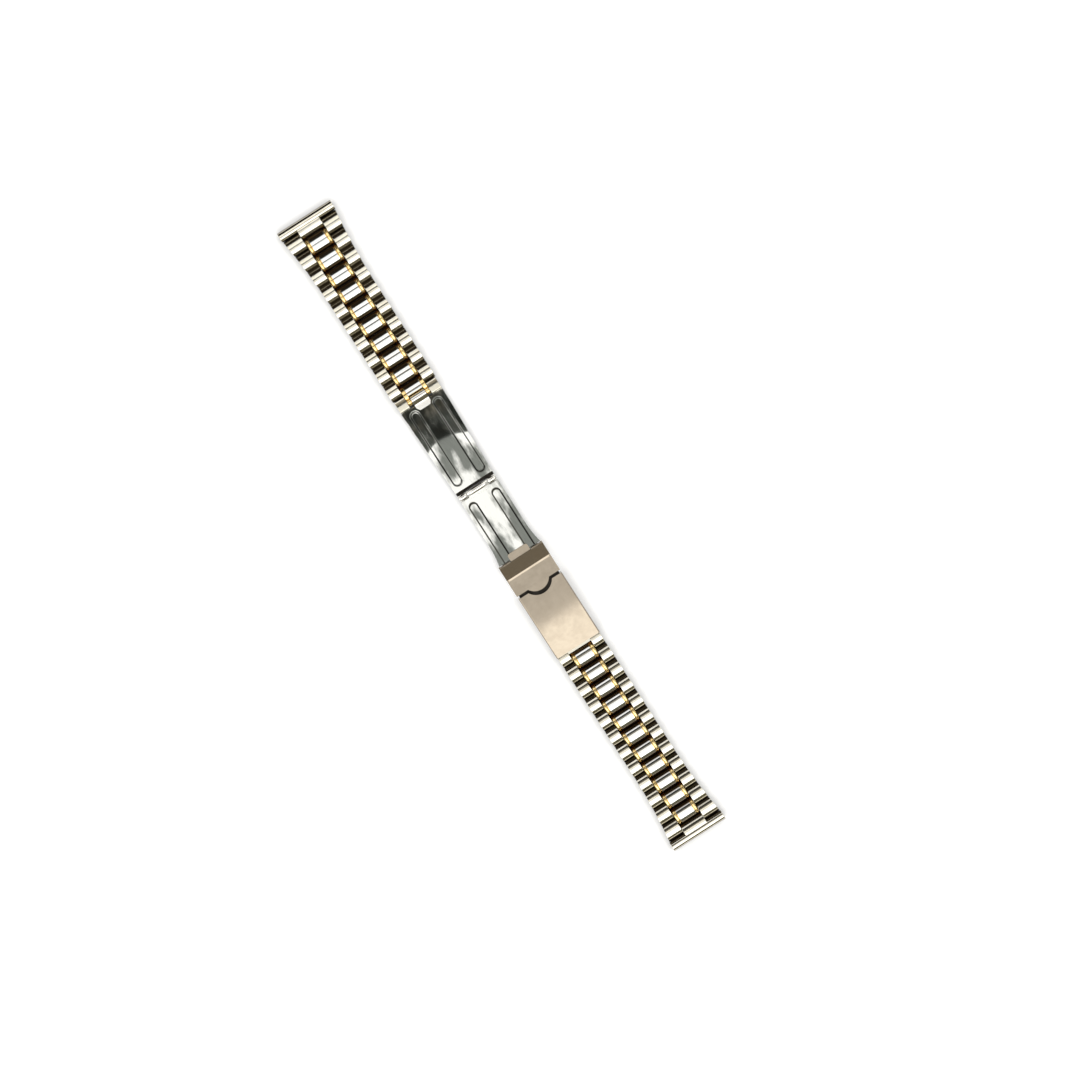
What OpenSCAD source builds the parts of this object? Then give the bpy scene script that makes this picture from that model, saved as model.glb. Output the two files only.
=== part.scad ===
// Two-tone steel watch bracelet with a fold-over clasp, lying open with its outer face up.
// X runs along the bracelet, Y across it and Z out of the outer face. The origin is at the
// middle of its length and width, on the surface it lies on. All sizes are in millimetres.

/* [Strands] */
// Width of the end tubes, which is the gap between the lugs of the watch
lug_w = 18; // [16.5:0.5:20]
// Width of the strands beyond their narrowing ends
strand_w = 14.4; // [14:0.1:15]
// Length over which a strand narrows from its end tube
taper_len = 25; // [18:1:40]
// Outer rows in the strand that starts at the long leaf
rows_a = 10; // [5:1:10]
// Outer rows in the strand that starts at the cover
rows_b = 11; // [5:1:11]
// Distance from one row to the next
pitch = 5.55; // [5.3:0.05:6]
// Gap between neighbouring links of one lane
link_gap = 0.15; // [0.12:0.01:0.25]
// Gap between an outer link and the centre link beside it
lane_gap = 0.1; // [0.08:0.01:0.2]
// Thickness of a link at its crown
link_t = 2.6; // [2.45:0.05:2.9]
// Radius of the crown along the bracelet
crown_r = 3.3; // [3.2:0.05:3.8]
// Height of the widest place of a link's ends
waist_z = 1.2; // [1.1:0.05:1.4]
// How far the foot of a link's end stands back, so that the strand can curl
foot_setback = 0.14; // [0.12:0.01:0.25]
// How much shorter the first outer row is beside its end tube
first_row_cut = 0.35; // [0.2:0.05:0.5]

/* [Centre links] */
// Width of a centre link with its gold shoulders
centre_w = 7.4; // [7:0.1:8]
// Width of the polished steel cap
cap_w = 5; // [4.6:0.1:5.4]
// Thickness of the cap over the gold core
cap_t = 0.3; // [0.25:0.01:0.34]
// How far the gold shoulders lie below the cap's crown
shoulder_drop = 0.14; // [0.08:0.01:0.2]
// How far the cap stays back from each end of the gold core
cap_back = 0.07; // [0.04:0.01:0.12]
// Play between the cap and its core
cap_play = 0.02; // [0.01:0.005:0.03]

/* [Pins and tubes] */
// Diameter of the link pins
pin_d = 0.9; // [0.8:0.05:1]
// Height of the link pins
pin_z = 1.1; // [1.05:0.01:1.15]
// Radial play of a pin in the piece that holds it
tight_play = 0.01; // [0.005:0.005:0.015]
// Radial play of a pin in the piece that turns on it
run_play = 0.05; // [0.03:0.005:0.06]
// How far a pin's end lies inside the side of its piece
pin_inset = 0.12; // [0.05:0.01:0.3]
// Diameter of an end tube
tube_d = 2.9; // [2.8:0.05:3]
// Bore of an end tube, for the watch's own spring bar
tube_bore_d = 1.9; // [1.7:0.05:2]

/* [Fork and its pin] */
// Distance from the last link pin to the connecting pin
fork_reach = 3.565; // [3.5:0.01:3.8]
// Diameter of the connecting pin
fork_pin_d = 1; // [0.9:0.05:1.1]
// Radius of the fork's eyes around the connecting pin
fork_eye_r = 1.15; // [1.1:0.01:1.2]
// Diameter of the long leaf's rolled end
roll_d = 2.6; // [2.5:0.05:2.7]
// Width of a connector cap
connector_w = 3.2; // [3:0.1:3.3]
// Radius of a connector cap around the pin
connector_r = 1.7; // [1.6:0.05:1.75]
// How far a connector cap reaches from the pin towards the last row
connector_reach = 1.95; // [1.8:0.05:1.95]
// Length of the tongue that lies back on the long leaf
tongue_len = 3.7; // [3:0.1:4.2]
// Thickness of the tongue
tongue_t = 0.4; // [0.3:0.05:0.45]

/* [Leaves] */
// Thickness of the leaves' sheet
sheet_t = 0.5; // [0.45:0.01:0.52]
// Distance from the connecting pin to the middle hinge
long_leaf_len = 31.4; // [31:0.1:32]
// Distance from the middle hinge to the cover's hinge
short_leaf_len = 25.4; // [25.2:0.1:25.8]
// Width of the long leaf at the strand
long_leaf_w = 14.2; // [13.8:0.1:14.4]
// Width of the leaves at the middle hinge
hinge_w = 12.6; // [12.2:0.1:13]
// Width of the short leaf's shoulders at the cover
shoulder_w = 14.1; // [13.4:0.1:14.2]
// Height of the two hinge pins of the clasp
hinge_z = 2.1; // [2.05:0.01:2.15]
// Diameter of the middle hinge's knuckles
mid_knuckle_d = 1.9; // [1.8:0.05:2]
// Diameter of the cover hinge's knuckles
end_knuckle_d = 1.7; // [1.6:0.05:1.8]
// Diameter of the hinge pins
hinge_pin_d = 0.8; // [0.7:0.05:0.9]
// Width of the middle hinge's centre knuckle
mid_knuckle_w = 7.1; // [6.8:0.1:7.4]
// Width of each outer knuckle of both hinges
side_knuckle_w = 2.6; // [2.4:0.1:2.7]
// Gap between neighbouring knuckles
knuckle_gap = 0.1; // [0.08:0.01:0.15]
// Arch radius of the short leaf and the cover
arch_r = 130; // [120:5:160]
// Arch radius of the long leaf
long_arch_r = 300; // [280:10:500]
// Depth of the long leaf's grooves
groove_depth = 0.35; // [0.25:0.05:0.4]
// Height of the short leaf's ribs
rib_height = 0.3; // [0.2:0.05:0.32]
// Width of the grooves and the ribs
groove_w = 3.3; // [2.8:0.1:3.5]
// Distance from the centre line to a groove's middle
groove_y = 3.9; // [3.7:0.1:4]

/* [Cover and flap] */
// Outer width of the cover and the flap
cover_w = 14.8; // [14.7:0.1:15.2]
// Thickness of the cover's roof
roof_t = 0.6; // [0.5:0.05:0.65]
// Thickness of the cover's side walls
wall_t = 0.5; // [0.4:0.02:0.5]
// Height of the lower edge of the side walls
wall_foot_z = 0.7; // [0.6:0.05:0.9]
// Distance that the cover reaches past the folded middle hinge
cover_over = 3.8; // [3.7:0.05:4.2]
// Length of the flap on the cover side of the hinge
flap_reach = 7.35; // [7:0.05:7.6]
// Distance from the cover's hinge to the flap's ridge
ridge_x = 1.9; // [1.6:0.1:2.4]
// Distance from the cover's hinge to the flap's pivot
flap_pivot_x = 2.05; // [2:0.01:2.1]
// Height of the flap's pivot
flap_pivot_z = 2.95; // [2.92:0.01:2.98]
// Diameter of the flap's rolled end
flap_roll_d = 1.1; // [1.06:0.01:1.14]
// Diameter of the flap's pivot pins
flap_pin_d = 0.5; // [0.45:0.01:0.52]
// Thickness of the flap's plate
flap_t = 0.45; // [0.4:0.01:0.48]
// Gap between the flap and the cover
flap_gap = 0.9; // [0.6:0.05:1]
// Width of the nail tab on the flap's edge
tab_w = 7.2; // [6.5:0.1:7.6]
// How far the nail tab stands out of the flap's edge
tab_reach = 2; // [1.6:0.1:2.2]
// Thickness of the nail tab
tab_t = 0.35; // [0.25:0.05:0.4]
// Clearance beside the nail tab in the cover's cut-out
tab_gap = 0.45; // [0.35:0.05:0.6]
// Room in front of the nail tab for a fingernail
nail_gap = 1.2; // [0.8:0.1:1.4]
// Width of the catch lip
lip_w = 6.7; // [6:0.1:6.7]
// Distance from the cover's hinge to the lip's edge
lip_reach = 4.35; // [4.1:0.05:4.5]
// Height of the lip's lower side
lip_z = 2.28; // [2.26:0.01:2.3]
// Thickness of the lip
lip_t = 0.32; // [0.28:0.01:0.34]

/* [Spring bar of the clasp] */
// Distance from the cover's open end to the spring bar
bar_in = 1.4; // [1.3:0.05:1.45]
// Height of the spring bar
bar_z = 1.3; // [1.25:0.01:1.35]
// Outer diameter of the spring bar's barrel
barrel_d = 1.5; // [1.4:0.05:1.55]
// Bore of the spring bar's barrel
barrel_bore_d = 1.04; // [1:0.02:1.06]
// Length of the spring bar's barrel
barrel_len = 12; // [11:0.2:12.4]
// Diameter of the plungers' tips
tip_d = 0.8; // [0.7:0.05:0.85]
// Outer diameter of the adapter's tube
adapter_tube_d = 2.3; // [2.2:0.05:2.35]
// Distance between the adjusting holes of the cover
adjust_pitch = 3; // [2.6:0.1:3.4]
// Number of adjusting holes in each side wall
adjust_count = 3; // [1:1:3]
// Play of the plungers in the adjusting holes
tip_play = 0.05; // [0.03:0.01:0.08]

/* [Hidden] */
ROWS_A = [for (i = [1:rows_a]) i];
ROWS_B = [for (i = [1:rows_b]) i];
CENTRES_A = [for (i = [1:rows_a - 1]) i];
$fn = 64;
fine_fn = 128;
big_fn = 256;
arc_fn = 512;
tall = 8;
// How far the parts of one solid run into each other
join = 0.5;

steel = "#c9c4b8";
mirror_steel = "#d8dbdc";
gold = "#d9a441";
satin_sand = "#c6bba6";

// Places along one strand, counted from the middle of its end tube
tube_r = tube_d / 2;
tube_gap = 0.2;
pin_step = pitch / 2;
link_len = pitch - link_gap;
crown_z = link_t - crown_r;
first_pin = tube_r + tube_gap - first_row_cut + link_len / 2 - pin_step / 2;
taper_r = pow(taper_len, 2) / (lug_w - strand_w);
pin_r = pin_d / 2;
function label(stem, i) = str(stem, i < 10 ? "0" : "", i);
function pin_s(k) = first_pin + k * pin_step;
function row_s(i) = pin_s(2 * i - 2) + pin_step / 2;
function narrowing(s) = s < taper_len ? taper_r - sqrt(pow(taper_r, 2) - pow(taper_len - s, 2)) : 0;
function half_w(s) = strand_w / 2 + narrowing(s);

// Lanes across the bracelet
lane_y = centre_w / 2 + lane_gap;
roll_w = cap_w - 2 * lane_gap;

// Places of the clasp, counted from the middle of the first end tube
fork_s = pin_s(2 * rows_a - 1) + fork_reach;
hinge_s = fork_s + long_leaf_len + short_leaf_len;
cover_end_s = hinge_s + short_leaf_len + cover_over;
wing_len = 1.15;
strand_b_len = row_s(rows_b + 1) + wing_len;
xa = -(cover_end_s + strand_b_len) / 2;
fork_x = xa + fork_s;
mid_x = fork_x + long_leaf_len;
hinge_x = mid_x + short_leaf_len;
cover_end = xa + cover_end_s;
bar_x = cover_end - bar_in;

// Radii and play of the clasp's pins and knuckles
fork_pin_r = fork_pin_d / 2;
roll_r = roll_d / 2;
mid_r = mid_knuckle_d / 2;
end_r = end_knuckle_d / 2;
hinge_pin_r = hinge_pin_d / 2;
flap_roll_r = flap_roll_d / 2;
flap_pin_r = flap_pin_d / 2;
turn_gap = 0.15;
ear_shell = 0.09;
ear_play = 0.04;
barrel_lip = 0.35;
head_play = 0.03;

// Heights of the clasp: the short leaf lies a little above its pins, so it folds above the long one
short_rise = 0.1;
long_rise = 0.3;
roll_drop = 0.5;
short_end_z = hinge_z + short_rise;
ceiling_z = hinge_z + mid_r + turn_gap;
roof_z = ceiling_z + roof_t;
inner_roof_t = 0.5;
inner_roof_z = hinge_z - short_rise + sheet_t + turn_gap;
long_mid_z = hinge_z - mid_r + long_rise;
long_end_z = roll_r - roll_drop;
short_sag = pow(short_leaf_len, 2) / (8 * arch_r);
function arch(d) = d * (short_leaf_len - d) / (2 * arch_r);

// Plan places of the clasp
leaf_gap = 0.87;
neck_len = 2.6;
flare_len = 6.5;
groove_wall = 0.25;
groove_from = 2.8;
groove_to = 3.1;
rib_from = 2.5;
ear_w = 0.6;
arm_top_z = flap_pivot_z + 0.15;
inner_y = cover_w / 2 - wall_t;
knuckle_y = lip_w / 2 + knuckle_gap;
neck_y = knuckle_y + side_knuckle_w;
ear_y = neck_y + knuckle_gap;
pivot_x = hinge_x - flap_pivot_x;
flap_edge = hinge_x + flap_reach;
cover_edge = flap_edge + flap_gap;
tab_r = (pow(tab_w / 2, 2) + pow(tab_reach, 2)) / (2 * tab_reach);
notch_r = tab_r + tab_gap;
notch_tip = flap_edge + tab_reach + nail_gap;

// A cylinder across the bracelet, centred on y
module across(x, z, r, w, y = 0) {
    translate([x, y + w / 2, z]) rotate([90, 0, 0]) cylinder(r = r, h = w);
}

// The same, on both sides of the centre line, between two distances from it
module across_pair(x, z, r, y_low, y_high) {
    both_sides() across(x, z, r, y_high - y_low, (y_low + y_high) / 2);
}

// A block by its lowest and highest corners
module block(low, high) {
    translate(low) cube(high - low);
}

// The same piece on both sides of the centre line
module both_sides() {
    children();
    mirror([0, 1, 0]) children();
}

// A side view drawn in X and Z, made solid between two places across the bracelet
module prism(y_low, y_high) {
    translate([0, y_high, 0]) rotate([90, 0, 0]) linear_extrude(height = y_high - y_low) children();
}

// A plan drawn in X and Y, made solid through the whole height
module plan() {
    translate([0, 0, -1]) linear_extrude(height = tall) children();
}

// A strand's frame: the first strand runs to +X from its end tube, the second to -X
module strand(side) {
    if (side == "a") translate([xa, 0, 0]) children();
    else translate([-xa, 0, 0]) mirror([1, 0, 0]) children();
}

// A rectangle between two places
module span(low, high) {
    translate(low) square(high - low);
}

// Side view of a link about its own middle, with its crown's radius and its ends drawn back
module link_side(r = crown_r, back = 0, cut_left = 0) {
    half = link_len / 2 - back;
    left = cut_left - half;
    intersection() {
        translate([0, crown_z]) circle(r = r, $fn = fine_fn);
        polygon([
            [left, waist_z], [left + foot_setback, 0], [half - foot_setback, 0],
            [half, waist_z], [half, link_t + 1], [left, link_t + 1]
        ]);
    }
}

// A strand's end: the tube for the watch's spring bar, and the tab that the first pin goes through
module end_piece() {
    tab_s = row_s(1) - pitch / 2;
    color(steel) difference() {
        union() {
            across(0, tube_r, tube_r, lug_w);
            prism(-centre_w / 2, centre_w / 2) intersection() {
                translate([tab_s, 0]) link_side();
                span([0, 0], [pitch, tall]);
            }
        }
        across(0, tube_r, tube_bore_d / 2, lug_w + 1);
        across(pin_s(0), pin_z, pin_r + run_play, lug_w);
    }
}

// An outer link on each side of the centre lane, cut by the strand's narrowing edge
module outer_links(s, cut_left) {
    narrows = s < taper_len;
    widest = narrows ? half_w(s - link_len / 2 + cut_left) : strand_w / 2;
    both_sides() difference() {
        translate([s, 0, 0]) prism(lane_y, widest) link_side(cut_left = cut_left);
        if (narrows) translate([taper_len, strand_w / 2 + taper_r, -1])
            cylinder(r = taper_r, h = tall, $fn = big_fn);
    }
}

// Outer row: its two links, and the two pins that it holds
module outer_row(i) {
    pins = [pin_s(2 * i - 2), pin_s(2 * i - 1)];
    color(steel) {
        difference() {
            outer_links(row_s(i), i == 1 ? first_row_cut : 0);
            for (p = pins) across(p, pin_z, pin_r + tight_play, lug_w + 1);
        }
        for (p = pins) across(p, pin_z, pin_r, 2 * (half_w(p + pin_r) - pin_inset));
    }
}

// Gold core of a centre link, hollowed for its cap
module core() {
    difference() {
        prism(-centre_w / 2, centre_w / 2) link_side(r = crown_r - shoulder_drop);
        prism(-cap_w / 2 - cap_play, cap_w / 2 + cap_play) difference() {
            span([-pitch, waist_z], [pitch, tall]);
            translate([0, crown_z]) circle(r = crown_r - cap_t - cap_play, $fn = fine_fn);
        }
    }
}

// Polished steel cap over the core
module cap() {
    prism(-cap_w / 2, cap_w / 2) difference() {
        link_side(back = cap_back);
        translate([0, crown_z]) circle(r = crown_r - cap_t, $fn = fine_fn);
        span([-pitch, -1], [pitch, waist_z + cap_play]);
    }
}

// Centre link between two outer rows
module centre_link(i) {
    color(gold) difference() {
        translate([row_s(i) + pitch / 2, 0, 0]) core();
        for (k = [2 * i - 1, 2 * i]) across(pin_s(k), pin_z, pin_r + run_play, lug_w);
    }
    color(mirror_steel) translate([row_s(i) + pitch / 2, 0, 0]) cap();
}

// Last centre link: a fork whose two arms take the rolled end of the long leaf
module fork_link() {
    body_end = fork_x - roll_r - turn_gap - lane_gap;
    link_x = xa + row_s(rows_a) + pitch / 2;
    arm_y = cap_w / 2;
    color(gold) difference() {
        union() {
            translate([link_x, 0, 0]) core();
            across_pair(fork_x, roll_r, fork_eye_r, arm_y, centre_w / 2);
        }
        block([body_end, -arm_y, -1], [fork_x + pitch, arm_y, tall]);
        across(xa + pin_s(2 * rows_a - 1), pin_z, pin_r + run_play, lug_w);
        across(fork_x, roll_r, fork_pin_r + tight_play, lug_w);
    }
    color(mirror_steel) intersection() {
        translate([link_x, 0, 0]) cap();
        block([link_x - pitch, -lug_w, -1], [body_end - cap_back, lug_w, tall]);
    }
}

// Short cap at each end of the connecting pin
module connector_caps() {
    flat = 0.1;
    color(steel) difference() {
        both_sides() prism(lane_y, lane_y + connector_w) translate([fork_x, 0]) intersection() {
            union() {
                translate([0, roll_r]) circle(r = connector_r);
                span([-connector_reach, 0], [0, roll_d]);
            }
            span([-pitch, flat], [pitch, roll_d - flat]);
        }
        across(fork_x, roll_r, fork_pin_r + tight_play, lug_w + 1);
    }
}

// Pin through the connector caps, the fork and the long leaf's rolled end
module connecting_pin() {
    color(steel) across(fork_x, roll_r, fork_pin_r, 2 * (lane_y + connector_w - pin_inset));
}

// A groove's or rib's plan on both sides: straight, with round ends
module track(x_from, x_to, half) {
    for (side = [-1, 1]) translate([0, side * groove_y]) {
        span([x_from + half, -half], [x_to - half, half]);
        for (x = [x_from + half, x_to - half]) translate([x, 0]) circle(r = half);
    }
}

// Side view of a bent sheet that hangs under an arc between two points, from depth top to depth low
module sheet_side(p, q, r, top, low, up) {
    run = norm(q - p);
    lean = (q - p) / run;
    drop = sqrt(pow(r, 2) - pow(run / 2, 2)) * up;
    middle = (p + q) / 2 + [lean[1], -lean[0]] * drop;
    intersection() {
        difference() {
            translate(middle - [0, up > 0 ? top : low]) circle(r = r, $fn = arc_fn);
            translate(middle - [0, up > 0 ? low : top]) circle(r = r, $fn = arc_fn);
        }
        span([p[0] - 5, -2], [q[0] + 5, tall]);
    }
}

// The long leaf between two depths under its upper face
module long_sheet(top, low) {
    ends = [[fork_x, long_end_z], [mid_x, long_mid_z]];
    prism(-lug_w, lug_w) sheet_side(ends[0], ends[1], long_arch_r, top, low, 1);
}

// Long leaf, rolled around the connecting pin and around the middle hinge's pin
module long_leaf() {
    leaf_from = fork_x + connector_r + turn_gap;
    leaf_to = mid_x - mid_r - leaf_gap;
    side_y = mid_knuckle_w / 2 + knuckle_gap;
    bridge_low = long_mid_z - sheet_t;
    bridge_t = 0.3;
    chamfer = 0.8;
    heel = mid_r * 0.85;
    color(mirror_steel) difference() {
        union() {
            difference() {
                union() {
                    intersection() {
                        long_sheet(0, sheet_t);
                        plan() polygon([
                            [leaf_from, -long_leaf_w / 2], [leaf_to, -hinge_w / 2],
                            [leaf_to, hinge_w / 2], [leaf_from, long_leaf_w / 2]
                        ]);
                    }
                    intersection() {
                        long_sheet(0, groove_depth + sheet_t);
                        plan() track(fork_x + groove_from - groove_wall,
                            mid_x - groove_to + groove_wall, groove_w / 2 + groove_wall);
                    }
                }
                intersection() {
                    long_sheet(-1, groove_depth);
                    plan() track(fork_x + groove_from, mid_x - groove_to, groove_w / 2);
                }
            }
            across(fork_x, roll_r, roll_r, roll_w);
            intersection() {
                long_sheet(-tongue_t, sheet_t);
                plan() polygon([
                    [fork_x, -roll_w / 2], [fork_x + tongue_len - chamfer, -roll_w / 2],
                    [fork_x + tongue_len, chamfer - roll_w / 2],
                    [fork_x + tongue_len, roll_w / 2 - chamfer],
                    [fork_x + tongue_len - chamfer, roll_w / 2], [fork_x, roll_w / 2]
                ]);
            }
            both_sides() prism(side_y, side_y + side_knuckle_w) {
                translate([mid_x, hinge_z]) circle(r = mid_r);
                span([mid_x - heel, bridge_low], [mid_x, hinge_z - hinge_pin_r / 2]);
                span([leaf_to - join, bridge_low], [mid_x, bridge_low + bridge_t]);
            }
        }
        across(fork_x, roll_r, fork_pin_r + run_play, lug_w);
        across(mid_x, hinge_z, hinge_pin_r + tight_play, lug_w);
    }
}

// Pin of the middle hinge
module mid_hinge_pin() {
    half = mid_knuckle_w / 2 + knuckle_gap + side_knuckle_w - pin_inset;
    color(steel) across(mid_x, hinge_z, hinge_pin_r, 2 * half);
}

// The short leaf between two depths under its upper face
module short_sheet(top, low) {
    ends = [[mid_x, short_end_z], [hinge_x, short_end_z]];
    prism(-lug_w, lug_w) sheet_side(ends[0], ends[1], arch_r, top, low, -1);
}

// Plan of the short leaf: straight, then flared to its shoulders, with a neck to the hinge
module short_plan() {
    from = mid_x + mid_r + turn_gap;
    shoulder = hinge_x - neck_len;
    flare = shoulder - flare_len;
    flare_r = pow(flare_len, 2) / (shoulder_w - hinge_w);
    span([from, -hinge_w / 2], [flare, hinge_w / 2]);
    span([mid_x, -mid_knuckle_w / 2], [from + 1, mid_knuckle_w / 2]);
    difference() {
        span([flare, -shoulder_w / 2], [shoulder, shoulder_w / 2]);
        for (side = [-1, 1]) translate([flare, side * (hinge_w / 2 + flare_r)])
            circle(r = flare_r, $fn = big_fn);
    }
    difference() {
        span([shoulder - 1, -neck_y], [hinge_x, neck_y]);
        span([hinge_x - end_r - turn_gap, -knuckle_y], [hinge_x + 1, knuckle_y]);
    }
}

// Short leaf between the middle hinge and the cover, with two pressed ribs
module short_leaf() {
    rib_to = hinge_x - neck_len;
    wall = 0.4;
    color(mirror_steel) difference() {
        union() {
            intersection() {
                short_sheet(0, sheet_t);
                plan() short_plan();
            }
            intersection() {
                short_sheet(-rib_height, sheet_t);
                plan() intersection() {
                    track(mid_x + rib_from, rib_to + groove_w, groove_w / 2);
                    span([mid_x, -lug_w], [rib_to, lug_w]);
                }
            }
            across(mid_x, hinge_z, mid_r, mid_knuckle_w);
            across_pair(hinge_x, hinge_z, end_r, knuckle_y, neck_y);
        }
        intersection() {
            short_sheet(sheet_t - rib_height, sheet_t + 1);
            plan() track(mid_x + rib_from + wall, rib_to - wall, groove_w / 2 - wall);
        }
        across(mid_x, hinge_z, hinge_pin_r + run_play, lug_w);
        across(hinge_x, hinge_z, hinge_pin_r + tight_play, lug_w);
    }
}

// Pin of the cover's hinge
module cover_hinge_pin() {
    color(steel) across(hinge_x, hinge_z, hinge_pin_r, 2 * (neck_y - pin_inset));
}

// Side view of what lies under the cover's arch at one height and over another
module arched(top, low) {
    ends = [[hinge_x, roof_z], [hinge_x + short_leaf_len, roof_z]];
    sheet_side(ends[0], ends[1], arch_r, roof_z - top, roof_z - low, 1);
}

// Side view of a cover's side wall, rounded about the spring bar at its open end
module wall_side() {
    difference() {
        intersection() {
            translate([hinge_x + short_leaf_len / 2, roof_z + short_sag - arch_r])
                circle(r = arch_r, $fn = arc_fn);
            span([cover_edge, wall_foot_z], [cover_end, tall]);
        }
        difference() {
            span([bar_x, -1], [cover_end + 1, bar_z]);
            translate([bar_x, bar_z]) circle(r = bar_in);
        }
    }
}

// Everything of the cover at the hinge: knuckle, catch lip and the arms that carry the flap
module cover_front() {
    knuckle_room = 0.35;
    roof_from = hinge_x + end_r + knuckle_room;
    lip_half = lip_w / 2;
    corner = 0.7;
    arm_rise = 0.07;
    arm_low = inner_roof_z + arm_rise;
    across(hinge_x, hinge_z, end_r, lip_w);
    translate([0, 0, lip_z]) linear_extrude(height = lip_t) {
        span([hinge_x - lip_reach + corner, -lip_half], [hinge_x, lip_half]);
        span([hinge_x - lip_reach, corner - lip_half], [hinge_x, lip_half - corner]);
        for (side = [-1, 1]) translate([hinge_x - lip_reach + corner, side * (lip_half - corner)])
            circle(r = corner);
    }
    prism(-lip_half, lip_half) span([hinge_x, arm_low], [roof_from + join, hinge_z + end_r]);
    both_sides() prism(ear_y, ear_y + ear_w) {
        span([pivot_x, arm_low], [roof_from + join, arm_top_z]);
        translate([pivot_x, flap_pivot_z]) circle(r = flap_roll_r - ear_shell - ear_play);
    }
    prism(lane_gap - inner_y, inner_y - lane_gap) intersection() {
        arched(inner_roof_z + inner_roof_t, inner_roof_z);
        span([roof_from, 0], [notch_tip + join, tall]);
    }
    prism(-inner_y - wall_t / 2, inner_y + wall_t / 2) intersection() {
        arched(ceiling_z + lane_gap, inner_roof_z);
        span([cover_edge, 0], [notch_tip + join, tall]);
    }
}

// Cover: arched roof with side walls, adjusting holes and a cut-out for the nail tab
module clasp_cover() {
    color(satin_sand) difference() {
        union() {
            difference() {
                prism(-cover_w / 2, cover_w / 2) intersection() {
                    arched(roof_z, ceiling_z);
                    span([cover_edge, 0], [cover_end, tall]);
                }
                translate([notch_tip - notch_r, 0, ceiling_z])
                    cylinder(r = notch_r, h = tall, $fn = fine_fn);
            }
            both_sides() prism(inner_y, cover_w / 2) wall_side();
            cover_front();
        }
        for (k = [0:adjust_count - 1])
            across(bar_x - k * adjust_pitch, bar_z, tip_d / 2 + tip_play, cover_w + 1);
        across(hinge_x, hinge_z, hinge_pin_r + run_play, cover_w + 1);
        across(pivot_x, flap_pivot_z, flap_pin_r + run_play, cover_w + 1);
    }
}

// Safety flap with its rolled end, two facets, short skirts and a nail tab
module safety_flap() {
    roll_y = knuckle_y + turn_gap;
    left_z = flap_pivot_z + flap_roll_r;
    ridge_rise = 0.12;
    skirt_depth = 0.8;
    ridge_z = roof_z + arch(ridge_x) + ridge_rise;
    edge_z = roof_z + arch(flap_reach);
    ridge = hinge_x + ridge_x;
    skirt_z = roof_z - skirt_depth;
    slot_y = [ear_y - ear_play, ear_y + ear_w + ear_play];
    color(satin_sand) difference() {
        union() {
            prism(-cover_w / 2, cover_w / 2) polygon([
                [pivot_x, left_z], [ridge, ridge_z], [flap_edge, edge_z],
                [flap_edge, edge_z - flap_t], [ridge, ridge_z - flap_t], [pivot_x, left_z - flap_t]
            ]);
            across_pair(pivot_x, flap_pivot_z, flap_roll_r, roll_y, cover_w / 2);
            both_sides() prism(inner_y, cover_w / 2) polygon([
                [pivot_x, left_z], [ridge, ridge_z], [flap_edge, edge_z], [flap_edge, skirt_z],
                [hinge_x + end_r, skirt_z], [hinge_x, flap_pivot_z - flap_roll_r],
                [pivot_x, flap_pivot_z - flap_roll_r]
            ]);
            intersection() {
                translate([flap_edge + tab_reach - tab_r, 0, edge_z - tab_t])
                    cylinder(r = tab_r, h = tab_t, $fn = fine_fn);
                block([flap_edge - join, -tab_w, 0], [flap_edge + tab_reach, tab_w, tall]);
            }
        }
        both_sides() prism(slot_y[0], slot_y[1]) {
            translate([pivot_x, flap_pivot_z]) circle(r = flap_roll_r - ear_shell);
            span([pivot_x - flap_roll_d, 0], [pivot_x + flap_roll_d, flap_pivot_z]);
            span([pivot_x, 0], [flap_edge, arm_top_z + lane_gap]);
        }
        across(pivot_x, flap_pivot_z, flap_pin_r + tight_play, cover_w + 1);
    }
}

// Pins on which the flap turns
module flap_pivot_pins() {
    pin_from = knuckle_y + side_knuckle_w / 2;
    color(steel) across_pair(pivot_x, flap_pivot_z, flap_pin_r, pin_from, cover_w / 2 - pin_inset);
}

// Adapter between the cover and the second strand: a tube for the spring bar, two short outer
// links with their pin, and the end of the centre lane
module strand_adapter() {
    web_overlap = 0.6;
    web_depth = [1.05, 0.95];
    middle = row_s(rows_b + 1);
    tube_s = strand_b_len + bar_in;
    wing_to = strand_b_len - turn_gap - lane_gap;
    web_from = wing_to - web_overlap;
    pin = pin_s(2 * rows_b);
    half = inner_y - lane_gap;
    color(steel) strand("b") {
        difference() {
            union() {
                both_sides() prism(lane_y, strand_w / 2) intersection() {
                    translate([middle, 0]) link_side();
                    span([0, 0], [wing_to, tall]);
                }
                prism(-centre_w / 2, centre_w / 2) intersection() {
                    translate([middle + pitch / 2, 0]) link_side(r = crown_r - shoulder_drop);
                    span([0, 0], [wing_to, tall]);
                }
                prism(-half, half) {
                    span([web_from, bar_z - web_depth[0]], [tube_s, bar_z + web_depth[1]]);
                    translate([tube_s, bar_z]) circle(r = adapter_tube_d / 2);
                }
            }
            across(tube_s, bar_z, barrel_d / 2 + run_play, lug_w);
            across(pin, pin_z, pin_r + tight_play, lug_w);
        }
        across(pin, pin_z, pin_r, strand_w - 2 * pin_inset);
    }
}

// Barrel of the spring bar, drawn in at both ends to keep its plungers
module bar_barrel() {
    color(steel) difference() {
        across(bar_x, bar_z, barrel_d / 2, barrel_len);
        across(bar_x, bar_z, barrel_bore_d / 2, barrel_len - 2 * barrel_lip);
        across(bar_x, bar_z, tip_d / 2 + tip_play, barrel_len + 1);
    }
}

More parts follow.
